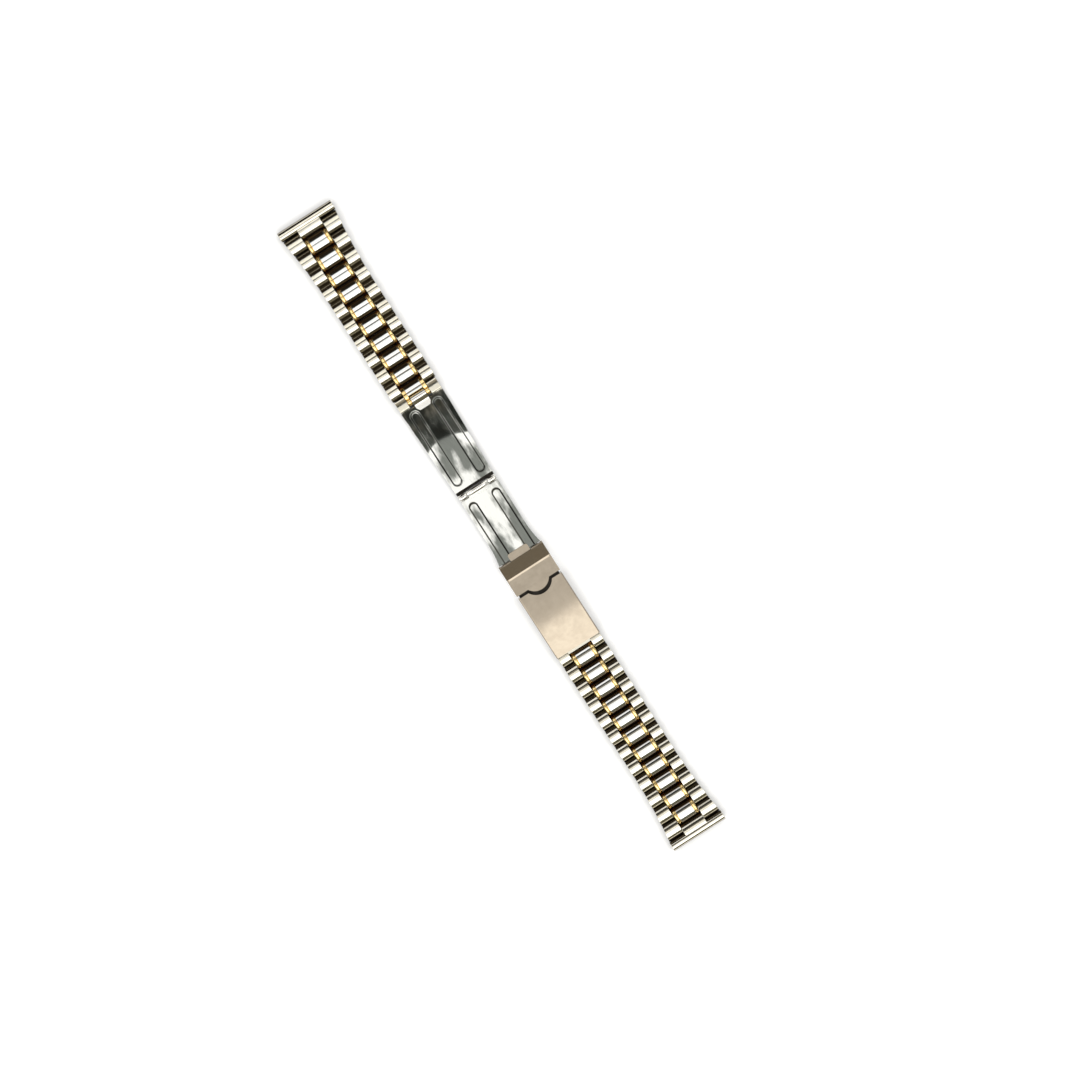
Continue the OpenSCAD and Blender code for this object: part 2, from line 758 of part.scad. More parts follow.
// Two plungers, whose tips stand in the adjusting holes of the cover
module bar_plungers() {
    head_len = 1.6;
    tip_inset = 0.05;
    shoulder = barrel_len / 2 - barrel_lip - tip_play;
    foot = shoulder - head_len;
    color(steel) {
        across_pair(bar_x, bar_z, barrel_bore_d / 2 - head_play, foot, shoulder);
        across_pair(bar_x, bar_z, tip_d / 2, shoulder, cover_w / 2 - tip_inset);
    }
}

// Coil spring between the plungers: a six-sided wire along a helix
module bar_spring() {
    turns = 12;
    steps = 12;
    wire = 0.07;
    head_room = 2.02;
    reach = barrel_len / 2 - head_room - wire;
    coil = barrel_bore_d / 2 - wire - head_play;
    count = turns * steps;
    rings = [for (i = [0:count]) let (a = 360 * i / steps, y = -reach + 2 * reach * i / count)
        [for (j = [0:5]) let (b = 60 * j, r = coil + wire * cos(b))
            [bar_x + r * cos(a), y + wire * sin(b), bar_z + r * sin(a)]]];
    points = [for (ring = rings) each ring];
    sides = [for (i = [0:count - 1], j = [0:5]) let (k = (j + 1) % 6)
        each [[6 * i + j, 6 * i + k, 6 * i + 6 + k], [6 * i + j, 6 * i + 6 + k, 6 * i + 6 + j]]];
    ends = [[5, 4, 3, 2, 1, 0], [for (j = [0:5]) 6 * count + j]];
    color(steel) polyhedron(points = points, faces = concat(sides, ends));
}

for (i = ROWS_A) strand("a") outer_row(i);
for (i = ROWS_B) strand("b") outer_row(i);
for (i = CENTRES_A) strand("a") centre_link(i);
for (i = ROWS_B) strand("b") centre_link(i);
strand("a") end_piece();  // end_tube_a
strand("b") end_piece();  // end_tube_b
fork_link();
connector_caps();
connecting_pin();
long_leaf();
mid_hinge_pin();
short_leaf();
cover_hinge_pin();
clasp_cover();
safety_flap();
flap_pivot_pins();
strand_adapter();
bar_barrel();
bar_plungers();
bar_spring();
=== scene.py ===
"""Looks of a two-tone steel watch bracelet with a fold-over clasp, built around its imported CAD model."""

import math

import bmesh
import bpy
from mathutils import Matrix, Vector

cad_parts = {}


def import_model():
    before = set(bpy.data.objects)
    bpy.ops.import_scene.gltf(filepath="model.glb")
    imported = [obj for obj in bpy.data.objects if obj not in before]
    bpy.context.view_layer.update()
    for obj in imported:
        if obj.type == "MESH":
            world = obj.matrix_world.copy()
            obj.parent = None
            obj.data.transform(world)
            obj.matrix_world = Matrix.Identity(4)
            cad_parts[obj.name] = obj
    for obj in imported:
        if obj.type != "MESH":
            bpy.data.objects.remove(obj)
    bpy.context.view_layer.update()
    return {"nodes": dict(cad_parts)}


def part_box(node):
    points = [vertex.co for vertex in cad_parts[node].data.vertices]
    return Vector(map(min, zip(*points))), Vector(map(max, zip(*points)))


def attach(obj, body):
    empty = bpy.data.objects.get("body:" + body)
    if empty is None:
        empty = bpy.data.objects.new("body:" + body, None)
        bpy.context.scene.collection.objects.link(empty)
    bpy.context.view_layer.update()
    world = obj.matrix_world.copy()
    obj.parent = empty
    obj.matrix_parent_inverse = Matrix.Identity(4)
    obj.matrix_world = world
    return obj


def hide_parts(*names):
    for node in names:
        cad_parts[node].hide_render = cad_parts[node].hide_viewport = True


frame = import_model()
scene = bpy.context.scene

MM = 0.001

# Sizes in millimetres that the frame's boxes don't give
LUG_W = 18.0
STRAND_W = 14.4
TAPER_LEN = 25.0
TUBE_D = 2.9
TUBE_BORE_R = 0.95
PITCH = 5.55
LINK_LEN = 5.4
LINK_T = 2.6
CROWN_R = 3.3
FOOT_SETBACK = 0.14
CENTRE_W = 7.4
BEAD_DROP = 0.05
CAP_W = 5.0
CAP_T = 0.3
CAP_BACK = 0.07
LANE_GAP = 0.1
TURN_GAP = 0.15
PIN_D = 0.9
PIN_Z = 1.1
PIN_INSET = 0.12
PIN_PLAY = 0.03
FORK_BORE_R = 0.51
CONNECTOR_R = 1.7
ROLL_D = 2.6
MID_KNUCKLE_D = 1.9
MID_KNUCKLE_W = 7.1
END_KNUCKLE_D = 1.7
SIDE_KNUCKLE_W = 2.6
KNUCKLE_GAP = 0.1
HINGE_PIN_D = 0.8
HINGE_Z = 2.1
SHEET_T = 0.5
LIP_W = 6.7

ROWS = {"a": 10, "b": 11}
CENTRE_LINKS = {"a": 9, "b": 11}
# 1 where a strand's clasp end lies towards +X, and -1 where it lies towards -X
CLASPWARD = {"a": 1, "b": -1}


# Node trees

def fill(tree, socket, value):
    """Links a socket to another one, or gives it a plain value."""
    if isinstance(value, bpy.types.NodeSocket):
        tree.links.new(value, socket)
    else:
        socket.default_value = value


def add(tree, kind, values=None, **settings):
    """A node with its settings, and its inputs filled by name or number."""
    node = tree.nodes.new(kind)
    for key, value in settings.items():
        setattr(node, key, value)
    for key, value in (values or {}).items():
        fill(tree, node.inputs[key], value)
    return node


def calc(tree, operation, *values):
    """One step of arithmetic in a tree."""
    return add(tree, "ShaderNodeMath", dict(enumerate(values)), operation=operation).outputs[0]


def plus(tree, first, second):
    """The sum of two values."""
    return calc(tree, "ADD", first, second)


def minus(tree, first, second):
    """The first value less the second."""
    return calc(tree, "SUBTRACT", first, second)


def times(tree, first, second):
    """The product of two values."""
    return calc(tree, "MULTIPLY", first, second)


def arc_rise(tree, radius, run):
    """Height of an arc over its centre, at a distance along its chord."""
    return calc(tree, "SQRT", minus(tree, times(tree, radius, radius), times(tree, run, run)))


def eased(tree, value, start, full, before=0.0, after=1.0):
    """A smooth change from one number to another while a value goes from start to full."""
    limits = {"Value": value, "From Min": start, "From Max": full, "To Min": before, "To Max": after}
    return add(tree, "ShaderNodeMapRange", limits, interpolation_type="SMOOTHSTEP").outputs[0]


def numbers(defaults):
    """Named inputs for numbers, from their names and first values."""
    return {label: ("NodeSocketFloat", value) for label, value in defaults.items()}


def lengths(*labels):
    """Named inputs for lengths in metres."""
    return numbers(dict.fromkeys(labels, 0.0))


def named_tree(name, kind, inputs, outputs):
    """An empty tree with named inputs and outputs."""
    tree = bpy.data.node_groups.new(name, kind)
    for in_out, sockets in (("INPUT", inputs), ("OUTPUT", outputs)):
        for label, (socket_type, value) in sockets.items():
            socket = tree.interface.new_socket(label, in_out=in_out, socket_type=socket_type)
            if value is not None:
                socket.default_value = value
    return tree, tree.nodes.new("NodeGroupInput").outputs, tree.nodes.new("NodeGroupOutput").inputs


GEOMETRY = {"Geometry": ("NodeSocketGeometry", None)}
MATERIAL = ("NodeSocketMaterial", None)
LINK_INPUTS = lengths("Middle", "Length", "Crown Height", "Crown Radius", "Foot Setback")
CROWN_POINTS = 25
BEAD_POINTS = 9
CAP_POINTS = 5
LEAF_POINTS = (200, 110)
END_SHARE = "end share"
WALL_SHARE = "wall share"


def position(tree):
    """X, Y and Z of each point."""
    return add(tree, "ShaderNodeSeparateXYZ", {0: add(tree, "GeometryNodeInputPosition").outputs[0]}).outputs


def noted_on_points(tree, geometry, label, value):
    """The geometry with a value stored on its points for its material."""
    node = add(tree, "GeometryNodeStoreNamedAttribute", {"Geometry": geometry, "Name": label},
               data_type="FLOAT", domain="POINT")
    fill(tree, node.inputs["Value"], value)
    return node.outputs[0]


def link_block(tree, sizes, y_low, y_high, y_points=2, top_drop=0.0, thickness=None, rounding=0.0):
    """A block whose top follows the link's crown and whose ends stand back at the foot.

    y_low and y_high are its sides, top_drop lowers its crown, thickness makes it a shell of the
    crown, and rounding makes it a bead, round across and at its ends.
    """
    cube = add(tree, "GeometryNodeMeshCube",
               {"Size": (2, 2, 2), "Vertices X": CROWN_POINTS, "Vertices Y": y_points, "Vertices Z": 2})
    x, y, z = position(tree)
    is_top = calc(tree, "GREATER_THAN", z, 0.0)
    is_foot = minus(tree, 1.0, is_top)
    half = times(tree, sizes["Length"], 0.5)
    radius = minus(tree, sizes["Crown Radius"], top_drop)
    centre = minus(tree, sizes["Crown Height"], sizes["Crown Radius"])
    if rounding:
        # Just over 1, so that no root is taken of a number below 0
        just_over_one = 1.0001
        curve = calc(tree, "SQRT", minus(tree, just_over_one, times(tree, y, y)))
        round_off = times(tree, minus(tree, 1.0, curve), rounding)
        half = minus(tree, half, round_off)
        centre = minus(tree, centre, round_off)
    if thickness is None:
        half = minus(tree, half, times(tree, sizes["Foot Setback"], is_foot))
    else:
        radius = minus(tree, radius, times(tree, thickness, is_foot))
    run = times(tree, x, half)
    height = plus(tree, centre, arc_rise(tree, radius, run))
    if thickness is None:
        height = times(tree, height, is_top)
    share = calc(tree, "MULTIPLY_ADD", y, 0.5, 0.5)
    side = calc(tree, "MULTIPLY_ADD", share, minus(tree, y_high, y_low), y_low)
    moved = add(tree, "ShaderNodeCombineXYZ", {0: plus(tree, sizes["Middle"], run), 1: side, 2: height})
    # End share, which the materials turn into dirt and painted shade towards the link's ends, where the gaps
    # between links are
    noted = noted_on_points(tree, cube.outputs["Mesh"], END_SHARE, calc(tree, "ABSOLUTE", x))
    return add(tree, "GeometryNodeSetPosition", {"Geometry": noted, "Position": moved.outputs[0]}).outputs[0]


def joined_parts(tree, *parts):
    """Several geometries as one."""
    node = add(tree, "GeometryNodeJoinGeometry")
    for part in parts:
        tree.links.new(part, node.inputs[0])
    return node.outputs[0]


def both_sides(tree, geometry):
    """A piece and its mirror image across the bracelet's centre line."""
    mirrored = add(tree, "GeometryNodeTransform", {"Geometry": geometry, "Scale": (1, -1, 1)})
    flipped = add(tree, "GeometryNodeFlipFaces", {"Mesh": mirrored.outputs[0]})
    return joined_parts(tree, geometry, flipped.outputs[0])


def finished(tree, geometry, material):
    """Smooth, real geometry in its material."""
    smooth = add(tree, "GeometryNodeSetShadeSmooth", {"Geometry": geometry})
    real = add(tree, "GeometryNodeRealizeInstances", {"Geometry": smooth.outputs[0]})
    clad = add(tree, "GeometryNodeSetMaterial", {"Geometry": real.outputs[0], "Material": material})
    return clad.outputs[0]


def pin_pair(tree, sizes, radius, depth):
    """Two cylinders across the bracelet, on the two pin places of a row."""
    pin = add(tree, "GeometryNodeMeshCylinder", {"Vertices": 24, "Radius": radius, "Depth": depth})
    across = add(tree, "GeometryNodeTransform",
                 {"Geometry": pin.outputs["Mesh"], "Rotation": (math.pi / 2, 0, 0)})
    first_pin = calc(tree, "MULTIPLY_ADD", sizes["Pin Step"], -0.5, sizes["Pin Middle"])
    start = add(tree, "ShaderNodeCombineXYZ", {0: first_pin, 2: sizes["Pin Height"]})
    step = add(tree, "ShaderNodeCombineXYZ", {0: sizes["Pin Step"]})
    places = add(tree, "GeometryNodeMeshLine",
                 {"Count": 2, "Start Location": start.outputs[0], "Offset": step.outputs[0]})
    pins = add(tree, "GeometryNodeInstanceOnPoints",
               {"Points": places.outputs[0], "Instance": across.outputs[0]})
    return add(tree, "GeometryNodeRealizeInstances", {"Geometry": pins.outputs[0]}).outputs[0]


def outer_row_tree():
    """Two domed outer links with their pin holes, and the two pins in them."""
    labels = ("Inner Side", "Outer Side Left", "Outer Side Right",
              "Pin Middle", "Pin Step", "Pin Radius", "Pin Height", "Pin Length")
    inputs = {**LINK_INPUTS, **lengths(*labels), "Links": MATERIAL, "Pins": MATERIAL}
    tree, sizes, result = named_tree("outer row", "GeometryNodeTree", inputs, GEOMETRY)
    share = calc(tree, "MULTIPLY_ADD", position(tree)[0], 0.5, 0.5)
    widening = minus(tree, sizes["Outer Side Right"], sizes["Outer Side Left"])
    outer = calc(tree, "MULTIPLY_ADD", share, widening, sizes["Outer Side Left"])
    links = both_sides(tree, link_block(tree, sizes, sizes["Inner Side"], outer))
    hole_r = plus(tree, sizes["Pin Radius"], PIN_PLAY * MM)
    holes = pin_pair(tree, sizes, hole_r, times(tree, sizes["Pin Length"], 2.0))
    drilled = add(tree, "GeometryNodeMeshBoolean", operation="DIFFERENCE", solver="EXACT")
    tree.links.new(links, drilled.inputs["Mesh 1"])
    tree.links.new(holes, drilled.inputs["Mesh 2"])
    pins = pin_pair(tree, sizes, sizes["Pin Radius"], sizes["Pin Length"])
    parts = (finished(tree, drilled.outputs["Mesh"], sizes["Links"]), finished(tree, pins, sizes["Pins"]))
    tree.links.new(joined_parts(tree, *parts), result[0])
    return tree


def gold_core_tree():
    """The gold-plated core of a centre link: a body under the cap, and a round bead on each side."""
    labels = ("Half Width", "Cap Half Width", "Cap Thickness", "Bead Drop")
    inputs = {**LINK_INPUTS, **lengths(*labels), "Gold": MATERIAL}
    tree, sizes, result = named_tree("gold core", "GeometryNodeTree", inputs, GEOMETRY)
    under_cap, under_bead = 0.05 * MM, 0.15 * MM
    cap_side = sizes["Cap Half Width"]
    body_side = plus(tree, cap_side, under_bead)
    body_low = times(tree, body_side, -1.0)
    body = link_block(tree, sizes, body_low, body_side, top_drop=sizes["Cap Thickness"])
    bead_round = times(tree, minus(tree, sizes["Half Width"], cap_side), 0.5)
    bead = link_block(tree, sizes, plus(tree, cap_side, under_cap), sizes["Half Width"],
                      y_points=BEAD_POINTS, top_drop=sizes["Bead Drop"], rounding=bead_round)
    whole = joined_parts(tree, body, both_sides(tree, bead))
    tree.links.new(finished(tree, whole, sizes["Gold"]), result[0])
    return tree


def steel_cap_tree():
    """The polished cap over a centre link's core."""
    inputs = {**LINK_INPUTS, **lengths("Cap Half Width", "Cap Thickness"), "Steel": MATERIAL}
    tree, sizes, result = named_tree("steel cap", "GeometryNodeTree", inputs, GEOMETRY)
    side = sizes["Cap Half Width"]
    cap = link_block(tree, sizes, times(tree, side, -1.0), side,
                     y_points=CAP_POINTS, thickness=sizes["Cap Thickness"])
    tree.links.new(finished(tree, cap, sizes["Steel"]), result[0])
    return tree


# Meshes

def linked_object(name, mesh):
    """A new object in the scene."""
    item = bpy.data.objects.new(name, mesh)
    scene.collection.objects.link(item)
    return item


def soften_edges(item, width, segments=3, angle=32):
    """Rounds an object's sharp edges."""
    bevel = item.modifiers.new("soft edges", "BEVEL")
    bevel.width = width * MM
    bevel.segments = segments
    bevel.limit_method = "ANGLE"
    bevel.angle_limit = math.radians(angle)
    bevel.harden_normals = True


def made_plain(item):
    """Turns an object with its modifiers into a plain mesh."""
    graph = bpy.context.evaluated_depsgraph_get()
    mesh = bpy.data.meshes.new_from_object(item.evaluated_get(graph))
    item.modifiers.clear()
    old = item.data
    item.data = mesh
    mesh.name = item.name
    bpy.data.meshes.remove(old)
    return item


def made_by(tree, name, values, edge):
    """The plain object that a geometry tree makes from these values."""
    item = linked_object(name, bpy.data.meshes.new(name))
    modifier = item.modifiers.new(tree.name, "NODES")
    modifier.node_group = tree
    for socket in tree.interface.items_tree:
        if socket.in_out == "INPUT" and socket.name in values:
            modifier[socket.identifier] = values[socket.name]
    soften_edges(item, edge)
    return made_plain(item)


def place(item, body, slot, *nodes):
    """Hands a finished piece to its body, in place of the nodes that it stands for."""
    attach(item, body)
    if nodes:
        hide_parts(*nodes)


# Effects that the metals share

def effect(name, output, defaults):
    """An empty shared effect: its tree, inputs, output and Object coordinates."""
    outputs = {output: ("NodeSocketFloat", None)}
    tree, given, result = named_tree(name, "ShaderNodeTree", numbers(defaults), outputs)
    return tree, given, result[output], add(tree, "ShaderNodeTexCoord").outputs["Object"]


def stretched_noise(tree, spot, scale, detail):
    """Noise with its own scale along X, Y and Z."""
    factors = add(tree, "ShaderNodeCombineXYZ", dict(enumerate(scale)))
    stretched = add(tree, "ShaderNodeVectorMath", {0: spot, 1: factors.outputs[0]}, operation="MULTIPLY")
    noise = add(tree, "ShaderNodeTexNoise", {"Vector": stretched.outputs[0], "Scale": 1.0, "Detail": detail})
    return noise.outputs["Fac"]


def brushed_grain():
    """Fine parallel lines, and how strongly they show from place to place."""
    tree, given, result, spot = effect("brushed grain", "Grain",
                                       {"Lines X": 900.0, "Lines Y": 30000.0, "Lines Z": 900.0})
    noise = stretched_noise(tree, spot, (given["Lines X"], given["Lines Y"], given["Lines Z"]), 3.0)
    tree.links.new(noise, result)
    return tree


def hairline_scratches():
    """Sparse thin scratches in two directions."""
    tree, given, result, spot = effect("hairline scratches", "Scratches",
                                       {"Amount": 0.4, "Fineness": 9000.0})
    shows_from, shows_fully = 0.68, 0.78
    found = []
    for turn, length in ((0.35, 260.0), (-1.05, 420.0)):
        turned = add(tree, "ShaderNodeMapping", {"Vector": spot, "Rotation": (0, 0, turn)})
        noise = stretched_noise(tree, turned.outputs[0], (length, given["Fineness"], length), 1.0)
        found.append(eased(tree, noise, shows_from, shows_fully))
    total = times(tree, calc(tree, "MAXIMUM", *found), given["Amount"])
    tree.links.new(total, result)
    return tree


def marks_and_painted_reflections():
    """Soft cloudy patches, as fingers and cloths leave; in the mirror leaf they make painted dark
    reflections.
    """
    tree, given, result, spot = effect("handling marks and painted reflections", "Marks",
                                       {"Size": 0.004, "Length": 1.0, "Softness": 0.2})
    across = calc(tree, "DIVIDE", 1.0, given["Size"])
    noise = stretched_noise(tree, spot, (calc(tree, "DIVIDE", across, given["Length"]), across, across), 5.0)
    softness = given["Softness"]
    marks = eased(tree, noise, minus(tree, 0.5, softness), plus(tree, 0.5, softness))
    tree.links.new(marks, result)
    return tree


def sheet_waves():
    """Long, low waves of thin pressed sheet."""
    tree, given, result, spot = effect("sheet waves", "Waves", {"Size": 0.010})
    scale = calc(tree, "DIVIDE", 1.0, given["Size"])
    noise = add(tree, "ShaderNodeTexNoise", {"Vector": spot, "Scale": scale, "Detail": 1.0, "Roughness": 0.4})
    tree.links.new(noise.outputs["Fac"], result)
    return tree


GRAIN = brushed_grain()
SCRATCHES = hairline_scratches()
MARKS = marks_and_painted_reflections()
WAVES = sheet_waves()

GRAIN_DEPTH = 0.01 * MM
MARKS_IN_SHEEN = 0.6
GRAIN_IN_SHEEN = 0.4
SCRATCH_ROUGHNESS = 0.2
SCRATCH_DEPTH = 0.8


def group(tree, shared, values):
    """A shared effect, placed in a material with its own values."""
    node = tree.nodes.new("ShaderNodeGroup")
    node.node_tree = shared
    for key, value in values.items():
        fill(tree, node.inputs[key], value)
    return node.outputs[0]


def blend_colours(tree, share, first, second):
    """A colour between two others."""
    # Sockets by number, because the node's values, vectors and colours share their names
    factor, colour_a, colour_b, colour_out = 0, 6, 7, 2
    node = add(tree, "ShaderNodeMix", data_type="RGBA")
    fill(tree, node.inputs[factor], share)
    fill(tree, node.inputs[colour_a], first)
    fill(tree, node.inputs[colour_b], second)
    return node.outputs[colour_out]


def metal(name, light, dark, smooth, rough, grain, grain_height, scratches, marks_size,
          waves=None, cloudiness=0.4, dirt_and_shade=None, mark_length=1.0, mark_softness=0.2):
    """A metal between two tones and two roughnesses, with grain, scratches, and marks that in the mirror leaf
    are painted dark reflections.

    grain is its line density along X, Y and Z in lines per metre, waves the size and depth of the
    waves in its sheet, in metres, cloudiness how much of its tone comes from the marks, and
    dirt_and_shade the attribute whose share darkens the colour, as dirt and painted shade, the dark
    colour, and the shares where it starts and is full.
    """
    material = bpy.data.materials.new(name)
    material.use_nodes = True
    tree = material.node_tree
    shader = tree.nodes["Principled BSDF"]
    shader.inputs["Metallic"].default_value = 1.0
    lines = group(tree, GRAIN, {"Lines X": grain[0], "Lines Y": grain[1], "Lines Z": grain[2]})
    hairs = group(tree, SCRATCHES, {"Amount": scratches})
    marks = group(tree, MARKS, {"Size": marks_size, "Length": mark_length, "Softness": mark_softness})
    tone = calc(tree, "MULTIPLY_ADD", lines, 1.0 - cloudiness, times(tree, marks, cloudiness))
    colour = blend_colours(tree, tone, (*light, 1.0), (*dark, 1.0))
    # Dirt and painted shade: the colour darkens to a dark tone where the named share is high, between links
    # and on pressed walls
    if dirt_and_shade:
        where, dirt_and_shade_tone, start, full = dirt_and_shade
        dirt_and_shade_share = add(tree, "ShaderNodeAttribute", attribute_name=where).outputs["Fac"]
        colour = blend_colours(tree, eased(tree, dirt_and_shade_share, start, full), colour, (*dirt_and_shade_tone, 1.0))
    fill(tree, shader.inputs["Base Color"], colour)
    sheen = calc(tree, "MULTIPLY_ADD", marks, MARKS_IN_SHEEN, times(tree, lines, GRAIN_IN_SHEEN))
    base = calc(tree, "MULTIPLY_ADD", sheen, rough - smooth, smooth)
    fill(tree, shader.inputs["Roughness"], calc(tree, "MULTIPLY_ADD", hairs, SCRATCH_ROUGHNESS, base))
    height = minus(tree, lines, times(tree, hairs, SCRATCH_DEPTH))
    bump = add(tree, "ShaderNodeBump", {"Height": height, "Strength": grain_height, "Distance": GRAIN_DEPTH})
    if waves:
        swell = group(tree, WAVES, {"Size": waves[0]})
        wavy = add(tree, "ShaderNodeBump", {"Height": swell, "Strength": 1.0, "Distance": waves[1]})
        fill(tree, bump.inputs["Normal"], wavy.outputs[0])
    fill(tree, shader.inputs["Normal"], bump.outputs[0])
    return material


def satin_link_steel():
    """Outer links, end tubes and adapter: satin, lightly brushed across the bracelet."""
    # Dirt and painted shade: the links', tubes' and adapter's ends darken towards the gaps between parts
    return metal("satin link steel", light=(0.82, 0.79, 0.71), dark=(0.62, 0.58, 0.48),
                 smooth=0.07, rough=0.13, grain=(16000, 700, 16000), grain_height=0.25,
                 scratches=0.25, marks_size=0.003, dirt_and_shade=(END_SHARE, (0.13, 0.11, 0.075), 0.66, 0.86))


def polished_cap_steel():
    """Caps of the centre links: mirror-polished, a little worn."""
    # Dirt and painted shade: the caps' ends darken towards the gaps between links
    return metal("polished cap steel", light=(0.86, 0.86, 0.85), dark=(0.76, 0.77, 0.77),
                 smooth=0.04, rough=0.10, grain=(9000, 700, 9000), grain_height=0.06,
                 scratches=0.5, marks_size=0.002, dirt_and_shade=(END_SHARE, (0.11, 0.075, 0.04), 0.62, 0.78))


def gold_plate():
    """Shoulders and cores of the centre links."""
    # Dirt and painted shade: the gold goes dark brown towards the gaps between links
    return metal("gold plate", light=(0.98, 0.79, 0.41), dark=(0.83, 0.58, 0.24),
                 smooth=0.08, rough=0.17, grain=(7000, 2000, 7000), grain_height=0.10,
                 scratches=0.3, marks_size=0.0015, dirt_and_shade=(END_SHARE, (0.16, 0.07, 0.015), 0.62, 0.88))


def mirror_leaf_steel():
    """The clasp's leaves: mirror-polished sheet with hairline scratches, near-black patches of painted
    reflection, and pressed walls darkened by dirt and painted shade.
    """
    # Painted reflection: the tone runs from near-white to near-black in long patches; painted shade and dirt
    # darken the pressed walls
    return metal("mirror leaf steel", light=(0.90, 0.90, 0.87), dark=(0.15, 0.16, 0.145),
                 smooth=0.04, rough=0.09, grain=(500, 5000, 500), grain_height=0.08,
                 scratches=0.6, marks_size=0.005, waves=(0.013, 0.6 * MM), cloudiness=0.9,
                 dirt_and_shade=(WALL_SHARE, (0.035, 0.035, 0.03), 0.2, 0.6), mark_length=2.4, mark_softness=0.09)


def brushed_cover_steel():
    """Cover and flap: brushed across, satin and a little mottled."""
    return metal("brushed cover steel", light=(0.445, 0.385, 0.31), dark=(0.32, 0.27, 0.21),
                 smooth=0.10, rough=0.17, grain=(20000, 500, 8000), grain_height=0.10,
                 scratches=0.25, marks_size=0.0025, cloudiness=0.3)


def bright_tube_steel():
    """Knuckles and return tongue: bright, finely turned."""
    return metal("bright tube steel", light=(0.84, 0.83, 0.80), dark=(0.70, 0.68, 0.64),
                 smooth=0.08, rough=0.16, grain=(9000, 9000, 9000), grain_height=0.15,
                 scratches=0.3, marks_size=0.003)


def turned_pin_steel():
    """Pins: fine turned rings."""
    return metal("turned pin steel", light=(0.62, 0.62, 0.60), dark=(0.44, 0.44, 0.43),
                 smooth=0.22, rough=0.36, grain=(900, 18000, 900), grain_height=0.2,
                 scratches=0.2, marks_size=0.002)


def shade_dark_steel():
    """Inside of the cover under the flap's gap, and bridges of the long leaf: unpolished, and painted dark as
    the shade in the gap and the slot.
    """
    return metal("inner steel painted dark as shade", light=(0.045, 0.04, 0.035), dark=(0.018, 0.016, 0.013),
                 smooth=0.5, rough=0.7, grain=(6000, 2000, 6000), grain_height=0.3,
                 scratches=0.2, marks_size=0.003)


FINISHES = {
    "satin_steel": satin_link_steel(),
    "cap_steel": polished_cap_steel(),
    "gold_plate": gold_plate(),
    "mirror_steel": mirror_leaf_steel(),
    "brushed_clasp": brushed_cover_steel(),
    "bright_steel": bright_tube_steel(),
    "pin_steel": turned_pin_steel(),
    "inner_steel": shade_dark_steel(),
}


# Strands

def ends_of(node):
    """Where a CAD node starts and ends along the bracelet, in millimetres."""
    low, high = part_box(node)
    return low.x / MM, high.x / MM


def in_metres(sizes):
    """Named sizes in metres, from millimetres."""
    return {label: size * MM for label, size in sizes.items()}


def tube_axis(side):
    """Where the axis of a strand's end tube is, in millimetres."""
    low, high = ends_of(f"end_tube_{side}")
    return low + TUBE_D / 2 if side == "a" else high - TUBE_D / 2


def half_width(side, x):
    """Half the strand's width at a place along the bracelet."""
    run = TAPER_LEN - abs(x - tube_axis(side))
    radius = TAPER_LEN ** 2 / (LUG_W - STRAND_W)
    return STRAND_W / 2 + (radius - math.sqrt(radius ** 2 - max(run, 0.0) ** 2))


def link_sizes(low, high):
    """What each link tree needs to know about one link, in millimetres."""
    return {"Middle": (low + high) / 2, "Length": high - low, "Crown Height": LINK_T,
            "Crown Radius": CROWN_R, "Foot Setback": FOOT_SETBACK}


def outer_row(tree, side, number):
    """One row of outer links, made around its pins."""
    node = f"outer_row_{side}{number:02d}"
    low, high = ends_of(node)
    shortened = LINK_LEN - (high - low)
    pin_middle = (low + high - CLASPWARD[side] * shortened) / 2
    claspward_pin = pin_middle + CLASPWARD[side] * PITCH / 4
    sizes = link_sizes(low, high) | {
        "Inner Side": CENTRE_W / 2 + LANE_GAP,
        "Outer Side Left": half_width(side, low), "Outer Side Right": half_width(side, high),
        "Pin Middle": pin_middle, "Pin Step": PITCH / 2, "Pin Radius": PIN_D / 2, "Pin Height": PIN_Z,
        "Pin Length": 2 * (half_width(side, claspward_pin) - PIN_INSET),
    }
    values = in_metres(sizes) | {"Links": FINISHES["satin_steel"], "Pins": FINISHES["pin_steel"]}
    row = made_by(tree, f"outer_links_{side}{number:02d}", values, edge=0.16)
    place(row, f"outer_{side}{number:02d}", "satin_steel", node)


def centre_link(core_tree, cap_tree, side, number):
    """One centre link: its gold core and its polished cap."""
    node = f"centre_link_{side}{number:02d}"
    body = f"centre_{side}{number:02d}"
    low, high = ends_of(node)
    sizes = link_sizes(low, high) | {"Half Width": CENTRE_W / 2, "Cap Half Width": CAP_W / 2,
                                     "Cap Thickness": CAP_T, "Bead Drop": BEAD_DROP}
    core_values = in_metres(sizes) | {"Gold": FINISHES["gold_plate"]}
    core = made_by(core_tree, f"gold_core_{side}{number:02d}", core_values, edge=0.05)
    place(core, body, "gold_plate", node)
    cap_sizes = sizes | {"Length": high - low - 2 * CAP_BACK}
    cap_values = in_metres(cap_sizes) | {"Steel": FINISHES["cap_steel"]}
    cap = made_by(cap_tree, f"steel_cap_{side}{number:02d}", cap_values, edge=0.12)
    place(cap, body, "two_tone_centre")


def strands():
    """All the links of both strands."""
    row_tree, core_tree, cap_tree = outer_row_tree(), gold_core_tree(), steel_cap_tree()
    for side in ("a", "b"):
        for number in range(1, ROWS[side] + 1):
            outer_row(row_tree, side, number)
        for number in range(1, CENTRE_LINKS[side] + 1):
            centre_link(core_tree, cap_tree, side, number)


strands()


# Places of the clasp in millimetres, from the frame

def middle_of(node):
    """The middle of a CAD node in X and Z, in millimetres."""
    low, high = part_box(node)
    return (low.x + high.x) / 2 / MM, (low.z + high.z) / 2 / MM


FORK_X, FORK_Z = middle_of("connecting_pin")
MID_X = middle_of("mid_hinge_pin")[0]
HINGE_X = middle_of("cover_hinge_pin")[0]
PIVOT_X, PIVOT_Z = middle_of("flap_pivot_pins")
BAR_X, BAR_Z = middle_of("bar_barrel")
COVER_END = ends_of("clasp_cover")[1]

